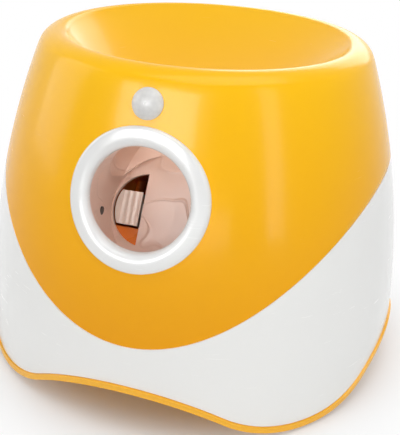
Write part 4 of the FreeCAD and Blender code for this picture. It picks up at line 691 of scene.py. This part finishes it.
# Gearbox: dark orange ABS box and cover, closed with four screws and seen through the window of the
# tube. The stand under it, the rear panel and the battery tray are grey ABS with a matt grain.
housing_orange = plastic("housing_orange", (0.86, 0.23, 0.018), (0.72, 0.14, 0.010), clouding=0.5,
                         grain=800, height=0.06, gloss=(0.26, 0.4), rubs=0.4)
part_grey = plastic("part_grey", (0.17, 0.17, 0.18), (0.12, 0.12, 0.13), clouding=0.4,
                    grain=1300, height=0.12, gloss=(0.4, 0.55), rubs=0.5)
paint(nodes["gearbox_base"], housing_orange)
paint(nodes["gearbox_cover"], housing_orange)
for name in ("gearbox_stand", "rear_panel", "battery_tray"):
    paint(nodes[name], part_grey)

# Metal pieces: turned axles and pins, plated screws, the wound spring, the drawn motor can and the
# brass pinion pressed on the motor's shaft. A fine uneven polish shows on them.


def metal(name, colour, roughness, scale):
    """Plated or turned metal with fine uneven polish."""
    material = bpy.data.materials.new(name)
    material.use_nodes = True
    tree = material.node_tree
    shader = tree.nodes["Principled BSDF"]
    shader.inputs["Metallic"].default_value = 1.0
    place = tree.nodes.new("ShaderNodeTexCoord")
    marks = tree.nodes.new("ShaderNodeTexNoise")
    marks.inputs["Scale"].default_value = scale
    marks.inputs["Detail"].default_value = 6.0
    tree.links.new(place.outputs["Object"], marks.inputs["Vector"])
    tone = tree.nodes.new("ShaderNodeMix")
    tone.data_type = "RGBA"
    tone.inputs["A"].default_value = (*colour, 1)
    tone.inputs["B"].default_value = (*[c * 0.78 for c in colour], 1)
    tree.links.new(marks.outputs["Fac"], tone.inputs["Factor"])
    tree.links.new(tone.outputs["Result"], shader.inputs["Base Color"])
    polish = tree.nodes.new("ShaderNodeMapRange")
    polish.inputs["To Min"].default_value = roughness * 0.7
    polish.inputs["To Max"].default_value = roughness * 1.4
    tree.links.new(marks.outputs["Fac"], polish.inputs["Value"])
    tree.links.new(polish.outputs["Result"], shader.inputs["Roughness"])
    relief = tree.nodes.new("ShaderNodeBump")
    relief.inputs["Strength"].default_value = 0.08
    relief.inputs["Distance"].default_value = 0.0002
    tree.links.new(marks.outputs["Fac"], relief.inputs["Height"])
    tree.links.new(relief.outputs["Normal"], shader.inputs["Normal"])
    return material


steel = metal("steel", (0.62, 0.61, 0.59), 0.3, 900)
steel_can = metal("steel_can", (0.68, 0.67, 0.64), 0.24, 160)
brass = metal("brass", (0.78, 0.56, 0.22), 0.28, 700)
for name in ("kicker_pin", "kicker_spring", "sector_axle", "gear_axle_slow", "gear_axle_fast",
             "motor_screws", "gearbox_screws", "tube_screws", "stand_screws", "board_screws",
             "shell_screws", "pan_screws", "battery_contacts"):
    paint(nodes[name], steel)
paint(nodes["motor"], steel_can)
paint(nodes["motion_sensor"], steel_can)
paint(nodes["motor_pinion"], brass)

# Fittings: white power button, black jack, switches and sensors, green boards, wrapped cells and
# pale green light pipes. They clip or screw into the panel, the stand and the tray.
part_black = plastic("part_black", (0.022, 0.022, 0.024), (0.04, 0.04, 0.042), clouding=0.4,
                     grain=1500, height=0.1, gloss=(0.34, 0.5), rubs=0.4)
button_white = plastic("button_white", (0.80, 0.80, 0.78), (0.72, 0.72, 0.70), clouding=0.3,
                       grain=900, height=0.02, gloss=(0.2, 0.34), rubs=0.3, coat=0.2)
board_green = plastic("board_green", (0.012, 0.11, 0.045), (0.008, 0.08, 0.03), clouding=0.6,
                      grain=600, height=0.05, gloss=(0.25, 0.4), rubs=0.2)
cell_jacket = plastic("cell_jacket", (0.03, 0.035, 0.05), (0.05, 0.055, 0.07), clouding=0.5,
                      grain=900, height=0.02, gloss=(0.16, 0.26), rubs=0.3, coat=0.3)
light_clear = plastic("light_clear", (0.55, 0.80, 0.55), (0.45, 0.72, 0.46), clouding=0.4,
                      grain=900, height=0.02, gloss=(0.08, 0.16), rubs=0.1, coat=0.6)
for name in ("ball_sensor_emitter", "ball_sensor_receiver", "home_switch", "button_switch",
             "power_jack", "sounder"):
    paint(nodes[name], part_black)
paint(nodes["power_button"], button_white)
paint(nodes["sensor_board"], board_green)
paint(nodes["main_board"], board_green)
paint(nodes["battery_cells"], cell_jacket)
paint(nodes["indicator_lights"], light_clear)

# Floor and camera: a plain pale paper floor under the launcher, and the photograph's own view from
# close by and a little above the rim, fitted to the outline in the photograph.
bm = bmesh.new()
bmesh.ops.create_grid(bm, x_segments=1, y_segments=1, size=4.0)
floor = finished("pale_floor", bm)


def background_rays(tree):
    """1 for rays that look at the background: from the camera, off gloss or through glass."""
    rays = tree.nodes.new("ShaderNodeLightPath")
    seen = rays.outputs["Is Camera Ray"]
    for kind in ("Is Glossy Ray", "Is Transmission Ray"):
        either = tree.nodes.new("ShaderNodeMath")
        either.operation = "MAXIMUM"
        tree.links.new(seen, either.inputs[0])
        tree.links.new(rays.outputs[kind], either.inputs[1])
        seen = either.outputs[0]
    return seen


def floor_paper():
    """White paper that keeps the shadow, fades to plain white and is clear from below."""
    material = bpy.data.materials.new("pale_floor")
    material.use_nodes = True
    tree = material.node_tree
    paper = tree.nodes["Principled BSDF"]
    paper.inputs["Base Color"].default_value = (0.90, 0.90, 0.90, 1)
    paper.inputs["Roughness"].default_value = 0.8
    paper.inputs["Specular IOR Level"].default_value = 0.1
    white = tree.nodes.new("ShaderNodeEmission")
    white.inputs["Color"].default_value = (1, 1, 1, 1)
    white.inputs["Strength"].default_value = 1.0
    place = tree.nodes.new("ShaderNodeTexCoord")
    reach = tree.nodes.new("ShaderNodeVectorMath")
    reach.operation = "LENGTH"
    tree.links.new(place.outputs["Object"], reach.inputs[0])
    fade = tree.nodes.new("ShaderNodeMapRange")
    fade.interpolation_type = "SMOOTHSTEP"
    fade.inputs["From Min"].default_value = 0.11
    fade.inputs["From Max"].default_value = 0.20
    tree.links.new(reach.outputs["Value"], fade.inputs["Value"])
    seen = tree.nodes.new("ShaderNodeMath")
    seen.operation = "MULTIPLY"
    tree.links.new(background_rays(tree), seen.inputs[0])
    tree.links.new(fade.outputs["Result"], seen.inputs[1])
    choose = tree.nodes.new("ShaderNodeMixShader")
    tree.links.new(seen.outputs[0], choose.inputs["Fac"])
    tree.links.new(paper.outputs["BSDF"], choose.inputs[1])
    tree.links.new(white.outputs["Emission"], choose.inputs[2])
    side = tree.nodes.new("ShaderNodeNewGeometry")
    clear = tree.nodes.new("ShaderNodeBsdfTransparent")
    upper = tree.nodes.new("ShaderNodeMixShader")
    tree.links.new(side.outputs["Backfacing"], upper.inputs["Fac"])
    tree.links.new(choose.outputs["Shader"], upper.inputs[1])
    tree.links.new(clear.outputs["BSDF"], upper.inputs[2])
    tree.links.new(upper.outputs["Shader"], tree.nodes["Material Output"].inputs["Surface"])
    return material


paint(floor, floor_paper())

picture_height = 435
focal_pixels = 733.85
view_distance = 2.4207 * rim_top
view_rise = math.radians(22.75)
view_turn = math.radians(15.15)
view_roll = math.radians(3.48)
look_at = Vector((0, 0, rim_top / 2))
level_way = math.cos(view_rise)
offset = Vector((math.sin(view_turn) * level_way, -math.cos(view_turn) * level_way,
                 math.sin(view_rise))) * view_distance
lens_data = bpy.data.cameras.new("photo_view")
lens_data.sensor_fit = "VERTICAL"
lens_data.sensor_height = 36.0
lens_data.sensor_width = 36.0
lens_data.lens = focal_pixels / picture_height * lens_data.sensor_height
lens_data.shift_x = 0.0021
lens_data.shift_y = -0.0869
camera = bpy.data.objects.new("photo_view", lens_data)
bpy.context.scene.collection.objects.link(camera)
facing = (-offset).to_track_quat("-Z", "Y").to_matrix().to_4x4()
camera.matrix_world = (Matrix.Translation(look_at + offset) @ facing
                       @ Matrix.Rotation(view_roll, 4, "Z"))
bpy.context.scene.camera = camera

# Studio light: soft boxes above, at each side, in front and behind, a bright card that shows only
# as the patch of gloss over the port, a narrow lamp that reaches into it, and a pale surround.


def soft_box(name, spot, size, power, target=(0, 0, 0.1)):
    """A rectangular lamp at a spot, turned to the launcher."""
    data = bpy.data.lights.new(name, "AREA")
    data.shape = "RECTANGLE"
    data.size, data.size_y = size
    data.energy = power
    lamp = bpy.data.objects.new(name, data)
    bpy.context.scene.collection.objects.link(lamp)
    way = Vector(target) - Vector(spot)
    lamp.matrix_world = Matrix.Translation(spot) @ way.to_track_quat("-Z", "Y").to_matrix().to_4x4()
    return lamp


soft_box("overhead", (0.2, -0.2, 1.3), (1.2, 0.9), 9.2)
soft_box("left_side", (-1.28, -0.20, 0.55), (0.70, 1.1), 4.8)
soft_box("right_side", (1.0, -0.68, 0.5), (0.22, 1.0), 2.8)
soft_box("front_fill", (0.0, -1.6, 0.9), (1.2, 0.8), 2.6)
soft_box("back_fill", (0.2, 1.4, 0.8), (1.2, 0.8), 7.5)
soft_box("low_front", (0.0, -1.3, 0.10), (1.6, 0.18), 3.0, (0, 0, 0.04))
window_card = soft_box("window_card", (-0.34, -1.46, 0.72), (1.35, 0.72), 30.0)
window_card.visible_diffuse = False

snoot_data = bpy.data.lights.new("pocket_snoot", "SPOT")
snoot_data.energy = 11.0
snoot_data.spot_size = math.radians(3.3)
snoot_data.spot_blend = 0.4
snoot_data.shadow_soft_size = 0.03
snoot = bpy.data.objects.new("pocket_snoot", snoot_data)
bpy.context.scene.collection.objects.link(snoot)
tube_slope = math.radians(30)
snoot_slant = -0.42
tube_way = Vector((snoot_slant, math.cos(tube_slope), -math.sin(tube_slope)))
snoot.matrix_world = (Matrix.Translation(Vector((0, -port_wall, port_height)) - tube_way)
                      @ tube_way.to_track_quat("-Z", "Y").to_matrix().to_4x4())

world = bpy.data.worlds.new("surround")
bpy.context.scene.world = world
world.use_nodes = True
tree = world.node_tree
surround = tree.nodes["Background"]
surround.inputs["Color"].default_value = (0.95, 0.97, 1.0, 1)
surround.inputs["Strength"].default_value = 0.20
backdrop = tree.nodes.new("ShaderNodeBackground")
backdrop.inputs["Color"].default_value = (1, 1, 1, 1)
backdrop.inputs["Strength"].default_value = 1.0
choose = tree.nodes.new("ShaderNodeMixShader")
tree.links.new(background_rays(tree), choose.inputs["Fac"])
tree.links.new(surround.outputs["Background"], choose.inputs[1])
tree.links.new(backdrop.outputs["Background"], choose.inputs[2])
tree.links.new(choose.outputs["Shader"], tree.nodes["World Output"].inputs["Surface"])
bpy.context.scene.view_settings.view_transform = "Standard"
